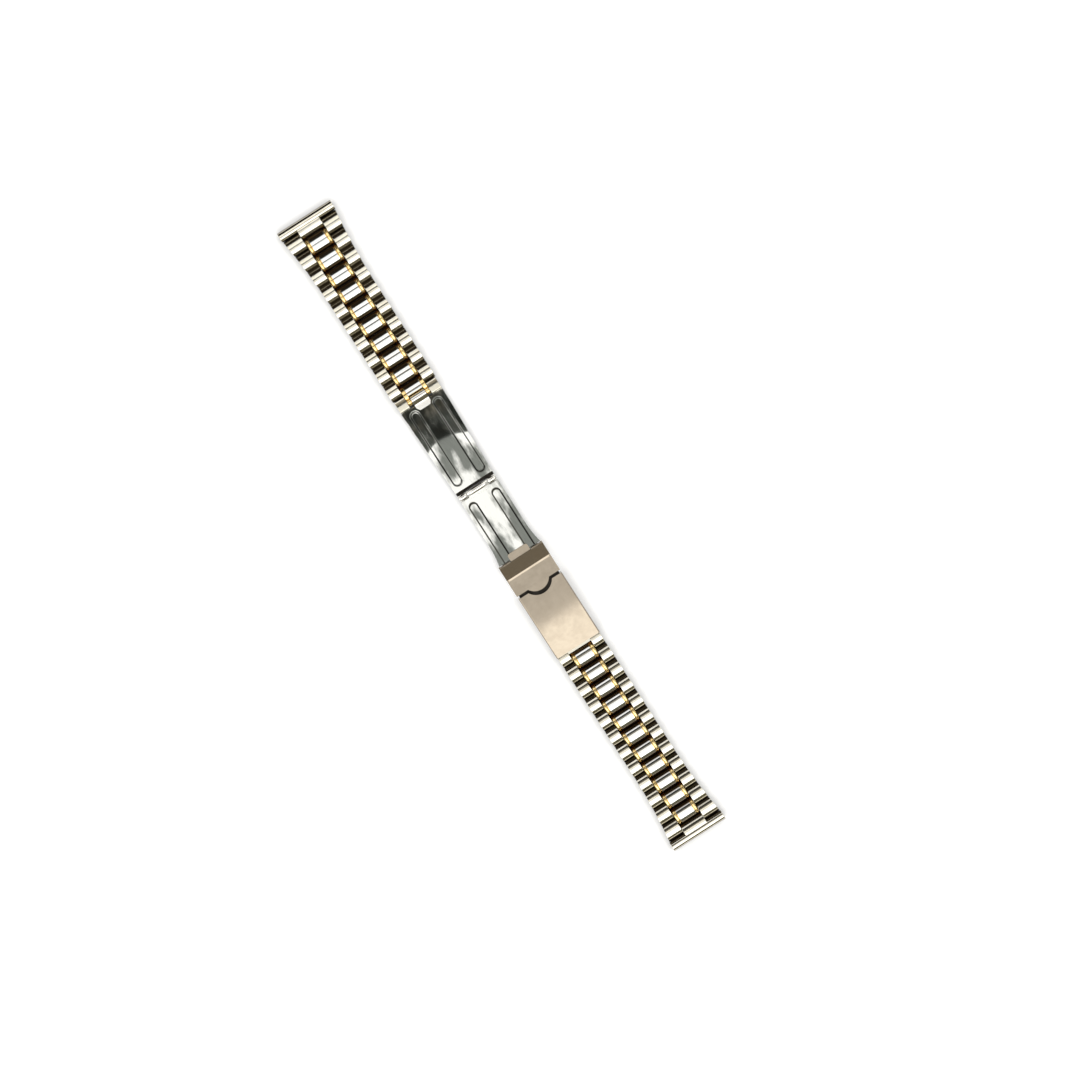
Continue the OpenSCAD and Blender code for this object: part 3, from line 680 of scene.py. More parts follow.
SHORT_LEAF_LEN = HINGE_X - MID_X
SHORT_ARCH_R = 130.0
LONG_ARCH_R = 300.0
MID_R = MID_KNUCKLE_D / 2
END_R = END_KNUCKLE_D / 2
LONG_END_Z = ROLL_D / 2 - 0.5
LONG_MID_Z = HINGE_Z - MID_R + 0.3
SHORT_END_Z = HINGE_Z + 0.1
CEILING_Z = HINGE_Z + MID_R + TURN_GAP
ROOF_T = 0.6
ROOF_Z = CEILING_Z + ROOF_T
INNER_ROOF_FROM = HINGE_X + END_R + 0.35
INNER_ROOF_DROP = HINGE_Z - 0.1 + SHEET_T + TURN_GAP - ROOF_Z
INNER_ROOF_T = 0.5
COVER_W = 14.8
WALL_T = 0.5
WALL_FOOT_Z = 0.7
HOLE_STEP = 3.0
HOLE_R = 0.45
FLAP_EDGE = HINGE_X + 7.35
FLAP_ROLL_R = 0.55
COLLAR_R = 0.46
COVER_EDGE = FLAP_EDGE + 0.9
TAB_W = 7.2
TAB_REACH = 2.0
TAB_R = ((TAB_W / 2) ** 2 + TAB_REACH ** 2) / (2 * TAB_REACH)
NOTCH_TIP = FLAP_EDGE + TAB_REACH + 1.2
NOTCH_R = TAB_R + 0.45
INNER_Y = COVER_W / 2 - WALL_T
KNUCKLE_Y = LIP_W / 2 + KNUCKLE_GAP
NECK_Y = KNUCKLE_Y + SIDE_KNUCKLE_W
EAR_Y = NECK_Y + KNUCKLE_GAP
EAR_T = 0.6
EAR_R = 0.42
# How far a part reaches into the one that it is welded to
WELD = 0.02


def arc_through(x_from, z_from, x_to, z_to, radius, up):
    """Centre and radius of the arc through two points; up is 1 where it bulges upwards, and -1 downwards."""
    run = math.hypot(x_to - x_from, z_to - z_from)
    lean_x, lean_z = (x_to - x_from) / run, (z_to - z_from) / run
    drop = math.sqrt(radius ** 2 - (run / 2) ** 2) * up
    return (x_from + x_to) / 2 + lean_z * drop, (z_from + z_to) / 2 - lean_x * drop, radius, up


def arc_z(arc, x):
    """Height of an arc at a place along the bracelet."""
    centre_x, centre_z, radius, up = arc
    return centre_z + up * math.sqrt(radius ** 2 - (x - centre_x) ** 2)


LONG_ARC = arc_through(FORK_X, LONG_END_Z, MID_X, LONG_MID_Z, LONG_ARCH_R, 1)
SHORT_ARC = arc_through(MID_X, SHORT_END_Z, HINGE_X, SHORT_END_Z, SHORT_ARCH_R, -1)
COVER_ARC = arc_through(HINGE_X, ROOF_Z, HINGE_X + SHORT_LEAF_LEN, ROOF_Z, SHORT_ARCH_R, 1)


# Shapes, in millimetres

def steps_between(low, high, count):
    """Evenly spaced places from one to another."""
    return [low + (high - low) * step / count for step in range(count + 1)]


def both_ways(inner, outer):
    """The stretches between two distances from the centre line, on both sides of it."""
    return (-outer, -inner), (inner, outer)


def barrel(shape, x, z, radius, bore, y_low, y_high, soft=0.07, steps=48):
    """A turned barrel across the bracelet with soft rims, open along its axis where it has a bore."""
    y_soft_low, y_soft_high = y_low + soft, y_high - soft
    profile = [(radius - soft, y_low), (radius, y_soft_low), (radius, y_soft_high), (radius - soft, y_high)]
    if bore:
        profile += [(bore + soft, y_high), (bore, y_soft_high), (bore, y_soft_low), (bore + soft, y_low)]
    rings = []
    for step in range(steps):
        turn = 2 * math.pi * step / steps
        rings.append([shape.verts.new(((x + r * math.cos(turn)) * MM, y * MM, (z + r * math.sin(turn)) * MM))
                      for r, y in profile])
    count = len(profile)
    for step in range(steps):
        here, there = rings[step], rings[(step + 1) % steps]
        for k in range(count if bore else count - 1):
            after = (k + 1) % count
            shape.faces.new((here[k], here[after], there[after], there[k]))
    if not bore:
        shape.faces.new([ring[0] for ring in rings])
        shape.faces.new([ring[-1] for ring in reversed(rings)])


def skinned(shape, sections):
    """A closed solid through sections with the same number of points."""
    rings = [[shape.verts.new([size * MM for size in point]) for point in section] for section in sections]
    count = len(rings[0])
    for here, there in zip(rings, rings[1:]):
        for k in range(count):
            after = (k + 1) % count
            shape.faces.new((here[k], here[after], there[after], there[k]))
    shape.faces.new(list(reversed(rings[0])))
    shape.faces.new(rings[-1])


def prism(shape, outline, y_low, y_high, y_steps=1):
    """A side view in X and Z, made solid between two places across the bracelet."""
    skinned(shape, [[(x, y, z) for x, z in outline] for y in steps_between(y_low, y_high, y_steps)])


def plate(shape, outline, z_low, z_high):
    """A plan in X and Y, made solid between two heights."""
    skinned(shape, [[(x, y, z) for x, y in outline] for z in (z_low, z_high)])


def box_outline(x_low, x_high, z_low, z_high):
    """A rectangle in the side view."""
    return [(x_low, z_low), (x_high, z_low), (x_high, z_high), (x_low, z_high)]


def arched_band(x_low, x_high, over_low, over_high):
    """A side view between two heights over the cover's roof line."""
    places = steps_between(x_low, x_high, 40)
    lower = [(x, arc_z(COVER_ARC, x) + over_low) for x in places]
    upper = [(x, arc_z(COVER_ARC, x) + over_high) for x in reversed(places)]
    return lower + upper


def arc_points(x, y, radius, turn_from, turn_to, steps=8):
    """Points along an arc, by its centre, radius and two angles in degrees."""
    turns = [math.radians(turn) for turn in steps_between(turn_from, turn_to, steps)]
    return [(x + radius * math.cos(turn), y + radius * math.sin(turn)) for turn in turns]


def modelled(name, build, finish, edge, segments=3, cutters=(), angle=32, share=None):
    """A finished object from a function that fills its shape, with its holes cut and its edges softened.

    share gives each point's end share, for dirt and painted shade, from its place along the bracelet in
    millimetres.
    """
    shape = bmesh.new()
    build(shape)
    bmesh.ops.recalc_face_normals(shape, faces=shape.faces)
    for face in shape.faces:
        face.smooth = True
    mesh = bpy.data.meshes.new(name)
    shape.to_mesh(mesh)
    shape.free()
    mesh.materials.append(finish)
    if share:
        noted = mesh.attributes.new(END_SHARE, "FLOAT", "POINT").data
        for number, vertex in enumerate(mesh.vertices):
            noted[number].value = share(vertex.co.x / MM)
    item = linked_object(name, mesh)
    tools = []
    for number, cut in enumerate(cutters):
        tool = modelled(f"{name}_cutter_{number}", cut, finish, 0.0)
        hole = item.modifiers.new("cut", "BOOLEAN")
        hole.operation = "DIFFERENCE"
        hole.solver = "EXACT"
        hole.object = tool
        tools.append(tool)
    if edge:
        soften_edges(item, edge, segments, angle)
    made_plain(item)
    for tool in tools:
        bpy.data.objects.remove(tool)
    return item


def joined(name, items):
    """Several plain objects joined into the first one, under a new name."""
    first = items[0]
    with bpy.context.temp_override(active_object=first, selected_editable_objects=items, object=first):
        bpy.ops.object.join()
    first.name = name
    first.data.name = name
    return first


def cross_hole(shape, x, z, radius):
    """A hole right across the bracelet."""
    barrel(shape, x, z, radius, 0, -LUG_W, LUG_W, soft=0.01, steps=32)


# Leaves

def pressed_leaf_tree():
    """A sheet on an arc with two pressed tracks: grooves where Press is below 0, ribs where it is above."""
    labels = ("From", "To", "Half Width From", "Half Width To", "Flare From", "Flare Radius",
              "Arc X", "Arc Z", "Arc Radius", "Sheet", "Track Side", "Track Half", "Track From", "Track To",
              "Press", "Wall")
    inputs = {**lengths(*labels), **numbers({"Bulge": 1.0}), "Steel": MATERIAL}
    tree, sizes, result = named_tree("pressed leaf", "GeometryNodeTree", inputs, GEOMETRY)
    points_x, points_y = LEAF_POINTS
    grid = add(tree, "GeometryNodeMeshGrid",
               {"Size X": 2, "Size Y": 2, "Vertices X": points_x, "Vertices Y": points_y})
    x, y, _ = position(tree)
    share = calc(tree, "MULTIPLY_ADD", x, 0.5, 0.5)
    run = calc(tree, "MULTIPLY_ADD", share, minus(tree, sizes["To"], sizes["From"]), sizes["From"])
    narrowing = minus(tree, sizes["Half Width To"], sizes["Half Width From"])
    half = calc(tree, "MULTIPLY_ADD", share, narrowing, sizes["Half Width From"])
    past = calc(tree, "MAXIMUM", minus(tree, run, sizes["Flare From"]), 0.0)
    flare = calc(tree, "DIVIDE", times(tree, past, past), times(tree, sizes["Flare Radius"], 2.0))
    side = times(tree, y, plus(tree, half, flare))
    rise = arc_rise(tree, sizes["Arc Radius"], minus(tree, run, sizes["Arc X"]))
    height = calc(tree, "MULTIPLY_ADD", rise, sizes["Bulge"], sizes["Arc Z"])
    track_low = plus(tree, sizes["Track From"], sizes["Track Half"])
    track_high = minus(tree, sizes["Track To"], sizes["Track Half"])
    nearest = calc(tree, "MINIMUM", calc(tree, "MAXIMUM", run, track_low), track_high)
    away_x = minus(tree, run, nearest)
    away_y = minus(tree, calc(tree, "ABSOLUTE", side), sizes["Track Side"])
    away = calc(tree, "SQRT", plus(tree, times(tree, away_x, away_x), times(tree, away_y, away_y)))
    floor_edge = minus(tree, sizes["Track Half"], sizes["Wall"])
    pressed = eased(tree, away, floor_edge, sizes["Track Half"], 1.0, 0.0)
    height = calc(tree, "MULTIPLY_ADD", pressed, sizes["Press"], height)
    moved = add(tree, "ShaderNodeCombineXYZ", {0: run, 1: side, 2: height})
    # Share on the tracks' walls, which the mirror leaf's material darkens as dirt and painted shade
    wall = times(tree, times(tree, pressed, minus(tree, 1.0, pressed)), 4.0)
    noted = noted_on_points(tree, grid.outputs["Mesh"], WALL_SHARE, wall)
    face = add(tree, "GeometryNodeSetPosition", {"Geometry": noted, "Position": moved.outputs[0]})
    down = add(tree, "ShaderNodeCombineXYZ", {2: times(tree, sizes["Sheet"], -1.0)})
    back = add(tree, "GeometryNodeExtrudeMesh",
               {"Mesh": face.outputs[0], "Offset": down.outputs[0], "Offset Scale": 1.0, "Individual": False})
    back_out = add(tree, "GeometryNodeFlipFaces", {"Mesh": back.outputs["Mesh"]})
    both = joined_parts(tree, face.outputs[0], back_out.outputs[0])
    closed = add(tree, "GeometryNodeMergeByDistance", {"Geometry": both, "Distance": 0.001 * MM})
    tree.links.new(finished(tree, closed.outputs[0], sizes["Steel"]), result[0])
    return tree


LONG_HALF_W = 7.1
SHORT_HALF_W = 6.3
TRACK_Y = 3.9
TRACK_HALF = 1.65


def leaf_sheet(tree, name, arc, x_from, x_to, half_from, track, press, wall, flare_len=0.0, flare_r=30.0):
    """The pressed sheet of a leaf: track is where its two tracks start and end along the bracelet."""
    sizes = {"From": x_from, "To": x_to, "Half Width From": half_from, "Half Width To": SHORT_HALF_W,
             "Flare From": x_to - flare_len, "Flare Radius": flare_r,
             "Arc X": arc[0], "Arc Z": arc[1], "Arc Radius": arc[2], "Sheet": SHEET_T,
             "Track Side": TRACK_Y, "Track Half": TRACK_HALF, "Track From": track[0], "Track To": track[1],
             "Press": press, "Wall": wall}
    values = in_metres(sizes) | {"Bulge": float(arc[3]), "Steel": FINISHES["mirror_steel"]}
    return made_by(tree, name, values, edge=0.12)


def rolled_tongue(shape):
    """The strip of the long leaf that is rolled around the connecting pin and laid back on the leaf."""
    thick, tip_corner = 0.4, 0.7
    half = CAP_W / 2 - LANE_GAP
    landing, touch, tip = 1.9, 2.7, 3.7
    # How far each place is from the pin, where the leaf under it is measured, and how high it lies over that
    laid_back = ((1.15, landing, 0.64), (1.5, landing, 0.34), (landing, landing, 0.2),
                 (touch, touch, 0.12), (tip, tip, 0.0))
    path = arc_points(FORK_X, FORK_Z, ROLL_D / 2 - thick / 2, -75, -290, 30)
    path += [(FORK_X + run, arc_z(LONG_ARC, FORK_X + spot) + thick / 2 + over)
             for run, spot, over in laid_back]
    last = len(path) - 1
    sections = []
    for k, (x, z) in enumerate(path):
        before, after = path[max(k - 1, 0)], path[min(k + 1, last)]
        along_x, along_z = after[0] - before[0], after[1] - before[1]
        run = math.hypot(along_x, along_z)
        out_x, out_z = along_z / run * thick / 2, -along_x / run * thick / 2
        width = half - tip_corner if k == last else half
        sections.append([(x - out_x, -width, z - out_z), (x - out_x, width, z - out_z),
                         (x + out_x, width, z + out_z), (x + out_x, -width, z + out_z)])
    skinned(shape, sections)


def long_leaf(tree):
    """Long leaf: grooved sheet, rolled end with its tongue, and the outer knuckles of the middle hinge."""
    bridge_len, bridge_t, bridge_in, overlap = 0.87, 0.3, 0.2, 0.5
    neck_in, neck_foot = 0.3, 0.05
    leaf_from, leaf_to = FORK_X + CONNECTOR_R + TURN_GAP, MID_X - MID_R - bridge_len
    track = (FORK_X + 2.8, MID_X - 3.1)
    side_y = MID_KNUCKLE_W / 2 + KNUCKLE_GAP
    knuckle_ends = both_ways(side_y, side_y + SIDE_KNUCKLE_W)
    bridge_z = LONG_MID_Z - SHEET_T

    def knuckles(shape):
        for ends in knuckle_ends:
            barrel(shape, MID_X, HINGE_Z, MID_R, HINGE_PIN_D / 2, *ends)

    def bridges(shape):
        stretches = [(MID_X - bridge_in, *ends) for ends in knuckle_ends]
        # The middle stretch fills the slot under the centre knuckle, as a dark sheet of painted shade
        stretches.append((MID_X - MID_R - TURN_GAP, -side_y, side_y))
        for to_x, y_low, y_high in stretches:
            outline = box_outline(leaf_to - overlap, to_x, bridge_z, bridge_z + bridge_t)
            prism(shape, outline, y_low, y_high)

    def neck(shape):
        half = CAP_W / 2 - LANE_GAP
        top = arc_z(LONG_ARC, FORK_X)
        foot = max(top - SHEET_T, neck_foot)
        prism(shape, box_outline(FORK_X + neck_in, leaf_from + overlap, foot, top), -half, half)

    bright, mirror = FINISHES["bright_steel"], FINISHES["mirror_steel"]
    sheet = leaf_sheet(tree, "long_leaf_sheet", LONG_ARC, leaf_from, leaf_to, LONG_HALF_W,
                       track, press=-0.35, wall=0.65)
    parts = [sheet, modelled("long_leaf_knuckles", knuckles, bright, edge=0.0),
             # The bridges' dark steel is painted shade in the slot by the middle knuckle
             modelled("long_leaf_bridges", bridges, FINISHES["inner_steel"], edge=0.05),
             modelled("long_leaf_tongue", rolled_tongue, bright, edge=0.08),
             modelled("long_leaf_neck", neck, mirror, edge=0.05)]
    return joined("long_leaf_pressed", parts)


def short_leaf(tree):
    """Short leaf: ribbed sheet with flared shoulders, centre knuckle, and the necks to the cover's hinge."""
    leaf_from = MID_X + MID_R + TURN_GAP
    shoulder = HINGE_X - 2.6
    track = (MID_X + 2.5, shoulder + 2 * TRACK_HALF)
    flare_len, flare = 6.5, 0.75

    def knuckles(shape):
        barrel(shape, MID_X, HINGE_Z, MID_R, HINGE_PIN_D / 2, -MID_KNUCKLE_W / 2, MID_KNUCKLE_W / 2)
        for ends in both_ways(KNUCKLE_Y, NECK_Y):
            barrel(shape, HINGE_X, HINGE_Z, END_R, HINGE_PIN_D / 2, *ends)

    def necks(shape):
        knuckle_in, overlap = 0.4, 0.6
        mid_drop, top_drop, back_drop = 0.08, 0.05, 0.03
        back_z = SHORT_END_Z - SHEET_T
        middle = box_outline(MID_X + knuckle_in, leaf_from + overlap,
                             back_z - mid_drop, SHORT_END_Z - mid_drop)
        prism(shape, middle, -MID_KNUCKLE_W / 2, MID_KNUCKLE_W / 2)
        from_x, to_x = shoulder - 0.5, HINGE_X - 0.3
        join_z = arc_z(SHORT_ARC, shoulder)
        outline = [(from_x, join_z - SHEET_T - back_drop), (to_x, back_z),
                   (to_x, SHORT_END_Z - top_drop), (from_x, join_z - top_drop)]
        for ends in both_ways(KNUCKLE_Y, NECK_Y):
            prism(shape, outline, *ends)
        inner = [(min(x, HINGE_X - END_R - TURN_GAP), z) for x, z in outline]
        prism(shape, inner, -KNUCKLE_Y, KNUCKLE_Y)

    sheet = leaf_sheet(tree, "short_leaf_sheet", SHORT_ARC, leaf_from, shoulder, SHORT_HALF_W,
                       track, press=0.3, wall=0.85, flare_len=flare_len,
                       flare_r=flare_len ** 2 / (2 * flare))
    parts = [sheet, modelled("short_leaf_knuckles", knuckles, FINISHES["bright_steel"], edge=0.0),
             modelled("short_leaf_necks", necks, FINISHES["mirror_steel"], edge=0.06)]
    return joined("short_leaf_pressed", parts)


# Cover and flap

def cover_foot(x):
    """Height of the side walls' lower edge, which rounds off about the spring bar at the open end."""
    past = max(x - BAR_X, 0.0)
    reach = COVER_END - BAR_X
    return max(WALL_FOOT_Z, BAR_Z - math.sqrt(max(reach ** 2 - past ** 2, 0.0)))


def cover_section(x):
    """The cover cut across at a place along it: over its roof from one foot to the other, and back inside."""
    corner, inner_corner, across_steps = 0.45, 0.2, 8
    half = COVER_W / 2
    top, foot = arc_z(COVER_ARC, x), cover_foot(x)
    ceiling = top - ROOF_T
    corner_z, inner_z = top - corner, ceiling - inner_corner
    shares = [k / across_steps for k in range(1 - across_steps, across_steps)]
    outer = [(-half, foot), *arc_points(corner - half, corner_z, corner, 180, 90, 6)]
    outer += [(half * share, top) for share in shares]
    outer += [*arc_points(half - corner, corner_z, corner, 90, 0, 6), (half, foot)]
    inner = [(INNER_Y, foot), *arc_points(INNER_Y - inner_corner, inner_z, inner_corner, 0, 90, 4)]
    inner += [(-INNER_Y * share, ceiling) for share in shares]
    inner += [*arc_points(inner_corner - INNER_Y, inner_z, inner_corner, 90, 180, 4), (-INNER_Y, foot)]
    return [(x, y, z) for y, z in outer + inner]


def cover_shell(shape):
    """Roof and side walls of the cover, swept along its arch."""
    skinned(shape, [cover_section(x) for x in steps_between(COVER_EDGE, COVER_END, 70)])


def cover_notch(shape):
    """Cut-out of the roof around the nail tab."""
    points, over_ceiling, past_roof = 144, 0.1, 3.0
    outline = arc_points(NOTCH_TIP - NOTCH_R, 0, NOTCH_R, 0, 360 - 360 / points, points - 1)
    plate(shape, outline, CEILING_Z + over_ceiling, ROOF_Z + past_roof)


def adjusting_holes(shape):
    """Holes for the spring bar, through both side walls."""
    for number in range(3):
        barrel(shape, BAR_X - number * HOLE_STEP, BAR_Z, HOLE_R, 0, -COVER_W, COVER_W, soft=0.01, steps=32)


def cover_front(shape):
    """Everything of the cover at its hinge: knuckle, catch lip, and the arms of the lip and of the flap."""
    lip_half, corner = LIP_W / 2, 0.7
    lip_end = HINGE_X - 4.35
    lip_z, lip_t = 2.28, 0.32
    arm_end = INNER_ROOF_FROM + 0.5
    arm_z = ROOF_Z + INNER_ROOF_DROP + 0.07
    ear_top = PIVOT_Z + 0.15
    barrel(shape, HINGE_X, HINGE_Z, END_R, HINGE_PIN_D / 2, -lip_half, lip_half)
    outline = [(HINGE_X, -lip_half), (HINGE_X, lip_half)]
    outline += arc_points(lip_end + corner, lip_half - corner, corner, 90, 180)
    outline += arc_points(lip_end + corner, corner - lip_half, corner, 180, 270)
    plate(shape, outline, lip_z, lip_z + lip_t)
    prism(shape, box_outline(HINGE_X, arm_end, arm_z, HINGE_Z + END_R), -lip_half, lip_half)
    for ends in both_ways(EAR_Y, EAR_Y + EAR_T):
        prism(shape, box_outline(PIVOT_X, arm_end, arm_z, ear_top), *ends)
        barrel(shape, PIVOT_X, PIVOT_Z, EAR_R, 0, *ends, soft=0.05)


def inner_roof(shape):
    """The roof's lower step, under the flap and under the gap around its nail tab."""
    roof_end, into_roof = NOTCH_TIP + 0.5, 0.1
    narrow = INNER_Y - LANE_GAP
    wide = INNER_Y + WALL_T / 2
    step_top = INNER_ROOF_DROP + INNER_ROOF_T
    prism(shape, arched_band(INNER_ROOF_FROM, roof_end, INNER_ROOF_DROP, step_top), -narrow, narrow)
    prism(shape, arched_band(COVER_EDGE, roof_end, INNER_ROOF_DROP, into_roof - ROOF_T), -wide, wide)


def clasp_cover():
    """Cover with its roof, walls, holes, cut-out, lip and ears."""
    steel = FINISHES["brushed_clasp"]
    cuts = (cover_notch, adjusting_holes)
    parts = [modelled("cover_shell", cover_shell, steel, edge=0.07, segments=2, cutters=cuts),
             modelled("cover_front", cover_front, steel, edge=0.05, segments=2),
             # The inside's dark steel is painted shade in the gap around the flap and its tab
             modelled("cover_inside", inner_roof, FINISHES["inner_steel"], edge=0.05, segments=2)]
    return joined("clasp_cover_brushed", parts)


def flap_roll(shape, outer_ends, inner_ends, collar_ends):
    """One side of the flap's rolled end: beside the ear, between ear and knuckle, and a low collar."""
    for ends in (outer_ends, inner_ends):
        barrel(shape, PIVOT_X, PIVOT_Z, FLAP_ROLL_R, 0, *ends, soft=0.05)
    barrel(shape, PIVOT_X, PIVOT_Z, COLLAR_R, 0, *collar_ends, soft=0.02)


def nail_tab(shape, edge_z):
    """The round tab on the flap's edge."""
    thick = 0.35
    turn = math.degrees(math.acos((TAB_R - TAB_REACH) / TAB_R))
    root_x, root_y = FLAP_EDGE - 0.5, TAB_W / 2 - 0.2
    outline = arc_points(FLAP_EDGE + TAB_REACH - TAB_R, 0, TAB_R, -turn, turn, 40)
    plate(shape, [*outline, (root_x, root_y), (root_x, -root_y)], edge_z - thick, edge_z - WELD)


def flap_plate(shape):
    """Two-facet plate of the flap with its short skirts, its rolled end and its nail tab."""
    thick, ear_play = 0.45, 0.04
    half = COVER_W / 2
    ridge_x = HINGE_X + 1.9
    ridge_z = arc_z(COVER_ARC, ridge_x) + 0.12
    step_behind = (ridge_x + 0.55, ridge_z - 0.10)
    edge_z = arc_z(COVER_ARC, FLAP_EDGE)
    skirt_z, roll_foot = ROOF_Z - 0.8, PIVOT_Z - 0.5
    start, ridge, edge = (PIVOT_X, PIVOT_Z + FLAP_ROLL_R), (ridge_x, ridge_z), (FLAP_EDGE, edge_z)
    under = [(x, z - thick) for x, z in (start, ridge, edge)]
    prism(shape, [start, *under, edge, step_behind, ridge], -half, half, 4)
    weld_start, weld_ridge, weld_edge = [(x, z - WELD) for x, z in (start, ridge, edge)]
    skirt = [weld_start, (PIVOT_X, roll_foot), (HINGE_X, roll_foot), (HINGE_X + END_R, skirt_z),
             (FLAP_EDGE, skirt_z), weld_edge, weld_ridge]
    stretches = zip(both_ways(INNER_Y, half), both_ways(EAR_Y + EAR_T + ear_play, half),
                    both_ways(KNUCKLE_Y + TURN_GAP, EAR_Y - ear_play),
                    both_ways(EAR_Y - 0.1, EAR_Y - 0.03))
    for skirt_ends, *roll_ends in stretches:
        prism(shape, skirt, *skirt_ends)
        flap_roll(shape, *roll_ends)
    nail_tab(shape, edge_z)


def safety_flap():
    """The safety flap, brushed like the cover."""
    return modelled("safety_flap_brushed", flap_plate, FINISHES["brushed_clasp"], edge=0.09, angle=6)


def connector_sides(shape):
    """The two rounded caps around the connecting pin, beside the fork."""
    flat, reach, front, width = 0.1, 1.95, 1.2, 3.2
    crown_x, crown_r, crown_turn = -0.3, 9.0, 38
    top = ROLL_D - flat
    foot_turn = math.degrees(math.asin((top - FORK_Z) / CONNECTOR_R))
    crown = [(FORK_X + run, top - (run - crown_x) ** 2 / (2 * crown_r))
             for run in steps_between(front, -reach, 12)]
    flank = arc_points(FORK_X, FORK_Z, CONNECTOR_R, -foot_turn, crown_turn, 24)
    lane = CENTRE_W / 2 + LANE_GAP
    for ends in both_ways(lane, lane + width):
        prism(shape, [(FORK_X - reach, flat), *flank, *crown], *ends)


def connecting_hole(shape):
    """The hole for the connecting pin."""
    cross_hole(shape, FORK_X, FORK_Z, FORK_BORE_R)


def clasp():
    """Leaves, cover and flap on their bodies."""
    tree = pressed_leaf_tree()
    place(long_leaf(tree), "outer_leaf", "mirror_steel", "long_leaf")
    place(short_leaf(tree), "inner_leaf", "mirror_steel", "short_leaf")
    place(clasp_cover(), "cover", "brushed_clasp", "clasp_cover")
    place(safety_flap(), "flap", "brushed_clasp", "safety_flap")
    caps = modelled("connector_sides", connector_sides, FINISHES["satin_steel"], edge=0.15,
                    cutters=(connecting_hole,))
    place(caps, "fork", "satin_steel", "connector_caps")


clasp()


# Ends of the strands

def away_from(middle, half):
    """End share along a part with this middle and half length."""
    return lambda x: abs(x - middle) / half


def crown_line(middle, low, high, drop=0.0):
    """Points of a link's crown between two places."""
    radius = CROWN_R - drop
    return [(x, LINK_T - CROWN_R + math.sqrt(radius ** 2 - (x - middle) ** 2))
            for x in steps_between(low, high, 24)]


def link_profile(middle, low, high, drop=0.0):
    """Side view of a link between two places; at its own ends its foot stands back."""
    nearly_half = LINK_LEN / 2 - 0.01
    foot_low = low + (FOOT_SETBACK if low < middle - nearly_half else 0.0)
    foot_high = high - (FOOT_SETBACK if high > middle + nearly_half else 0.0)
    return [(foot_high, 0.0), (foot_low, 0.0), *crown_line(middle, low, high, drop)]


def end_tube(side):
    """Tube for the watch's spring bar, and the tab for the strand's first pin."""
    inward = CLASPWARD[side]
    low, high = ends_of(f"end_tube_{side}")
    tab_end = high if side == "a" else low
    tab_middle = tab_end - inward * LINK_LEN / 2
    axis = tube_axis(side)
    radius = TUBE_D / 2
    tab_play = 0.05

    def tube(shape):
        barrel(shape, axis, radius, radius, TUBE_BORE_R, -LUG_W / 2, LUG_W / 2, soft=0.12, steps=64)

    def tab(shape):
        foot_x, crown_x, root_x = (axis + inward * reach for reach in (0.9, 0.8, 1.2))
        root_low, root_high = 1.0, 2.0
        crown = crown_line(tab_middle, tab_end, crown_x)
        outline = [(foot_x, 0.0), (tab_end - inward * FOOT_SETBACK, 0.0), *crown,
                   (crown_x, root_high), (root_x, radius), (root_x, root_low)]
        prism(shape, outline, -CENTRE_W / 2, CENTRE_W / 2)

    def pin_hole(shape):
        cross_hole(shape, tab_middle + inward * PITCH / 4, PIN_Z, PIN_D / 2 + tab_play)

    steel = FINISHES["satin_steel"]
    tab_share = away_from(tab_middle, LINK_LEN / 2)
    # The tube's sides and the tab's ends darken as dirt and painted shade through their end share
    parts = [modelled(f"tube_{side}", tube, steel, edge=0.03, share=away_from(axis, radius)),
             modelled(f"tab_{side}", tab, steel, edge=0.12, cutters=(pin_hole,), share=tab_share)]
    place(joined(f"end_tube_turned_{side}", parts), f"end_{side}", "bright_steel", f"end_tube_{side}")


def fork():
    """Last centre link: a gold fork around the connecting pin, and its short steel cap."""
    low = ends_of("fork_link")[0]
    middle = low + LINK_LEN / 2
    body_end = FORK_X - ROLL_D / 2 - TURN_GAP - LANE_GAP
    arms = both_ways(CAP_W / 2, CENTRE_W / 2)
    eye_r, arm_to_eye, under_arm = 1.15, 0.85, 0.1

    def body(shape):
        half = CAP_W / 2 + under_arm
        prism(shape, link_profile(middle, low, body_end, CAP_T + WELD), -half, half)

    def fork_arms(shape):
        for ends in arms:
            prism(shape, link_profile(middle, low, FORK_X - arm_to_eye, BEAD_DROP), *ends)

    def eyes(shape):
        for ends in arms:
            barrel(shape, FORK_X, FORK_Z, eye_r, FORK_BORE_R, *ends, soft=0.15)

    def cap(shape):
        cap_low, cap_high = low + CAP_BACK, body_end - CAP_BACK
        outline = crown_line(middle, cap_low, cap_high) + crown_line(middle, cap_high, cap_low, CAP_T)
        prism(shape, outline, -CAP_W / 2, CAP_W / 2, 4)

    # Dirt and painted shade: the fork's ends darken through their end share
    gold, share = FINISHES["gold_plate"], away_from(middle, LINK_LEN / 2)
    parts = [modelled("fork_body", body, gold, edge=0.05, share=share),
             modelled("fork_arms", fork_arms, gold, edge=0.3, share=share),
             modelled("fork_eyes", eyes, gold, edge=0.03)]
    place(joined("gold_fork", parts), "fork", "gold_plate", "fork_link")
    steel_cap = modelled("steel_cap_fork", cap, FINISHES["cap_steel"], edge=0.12, share=share)
    place(steel_cap, "fork", "two_tone_centre")


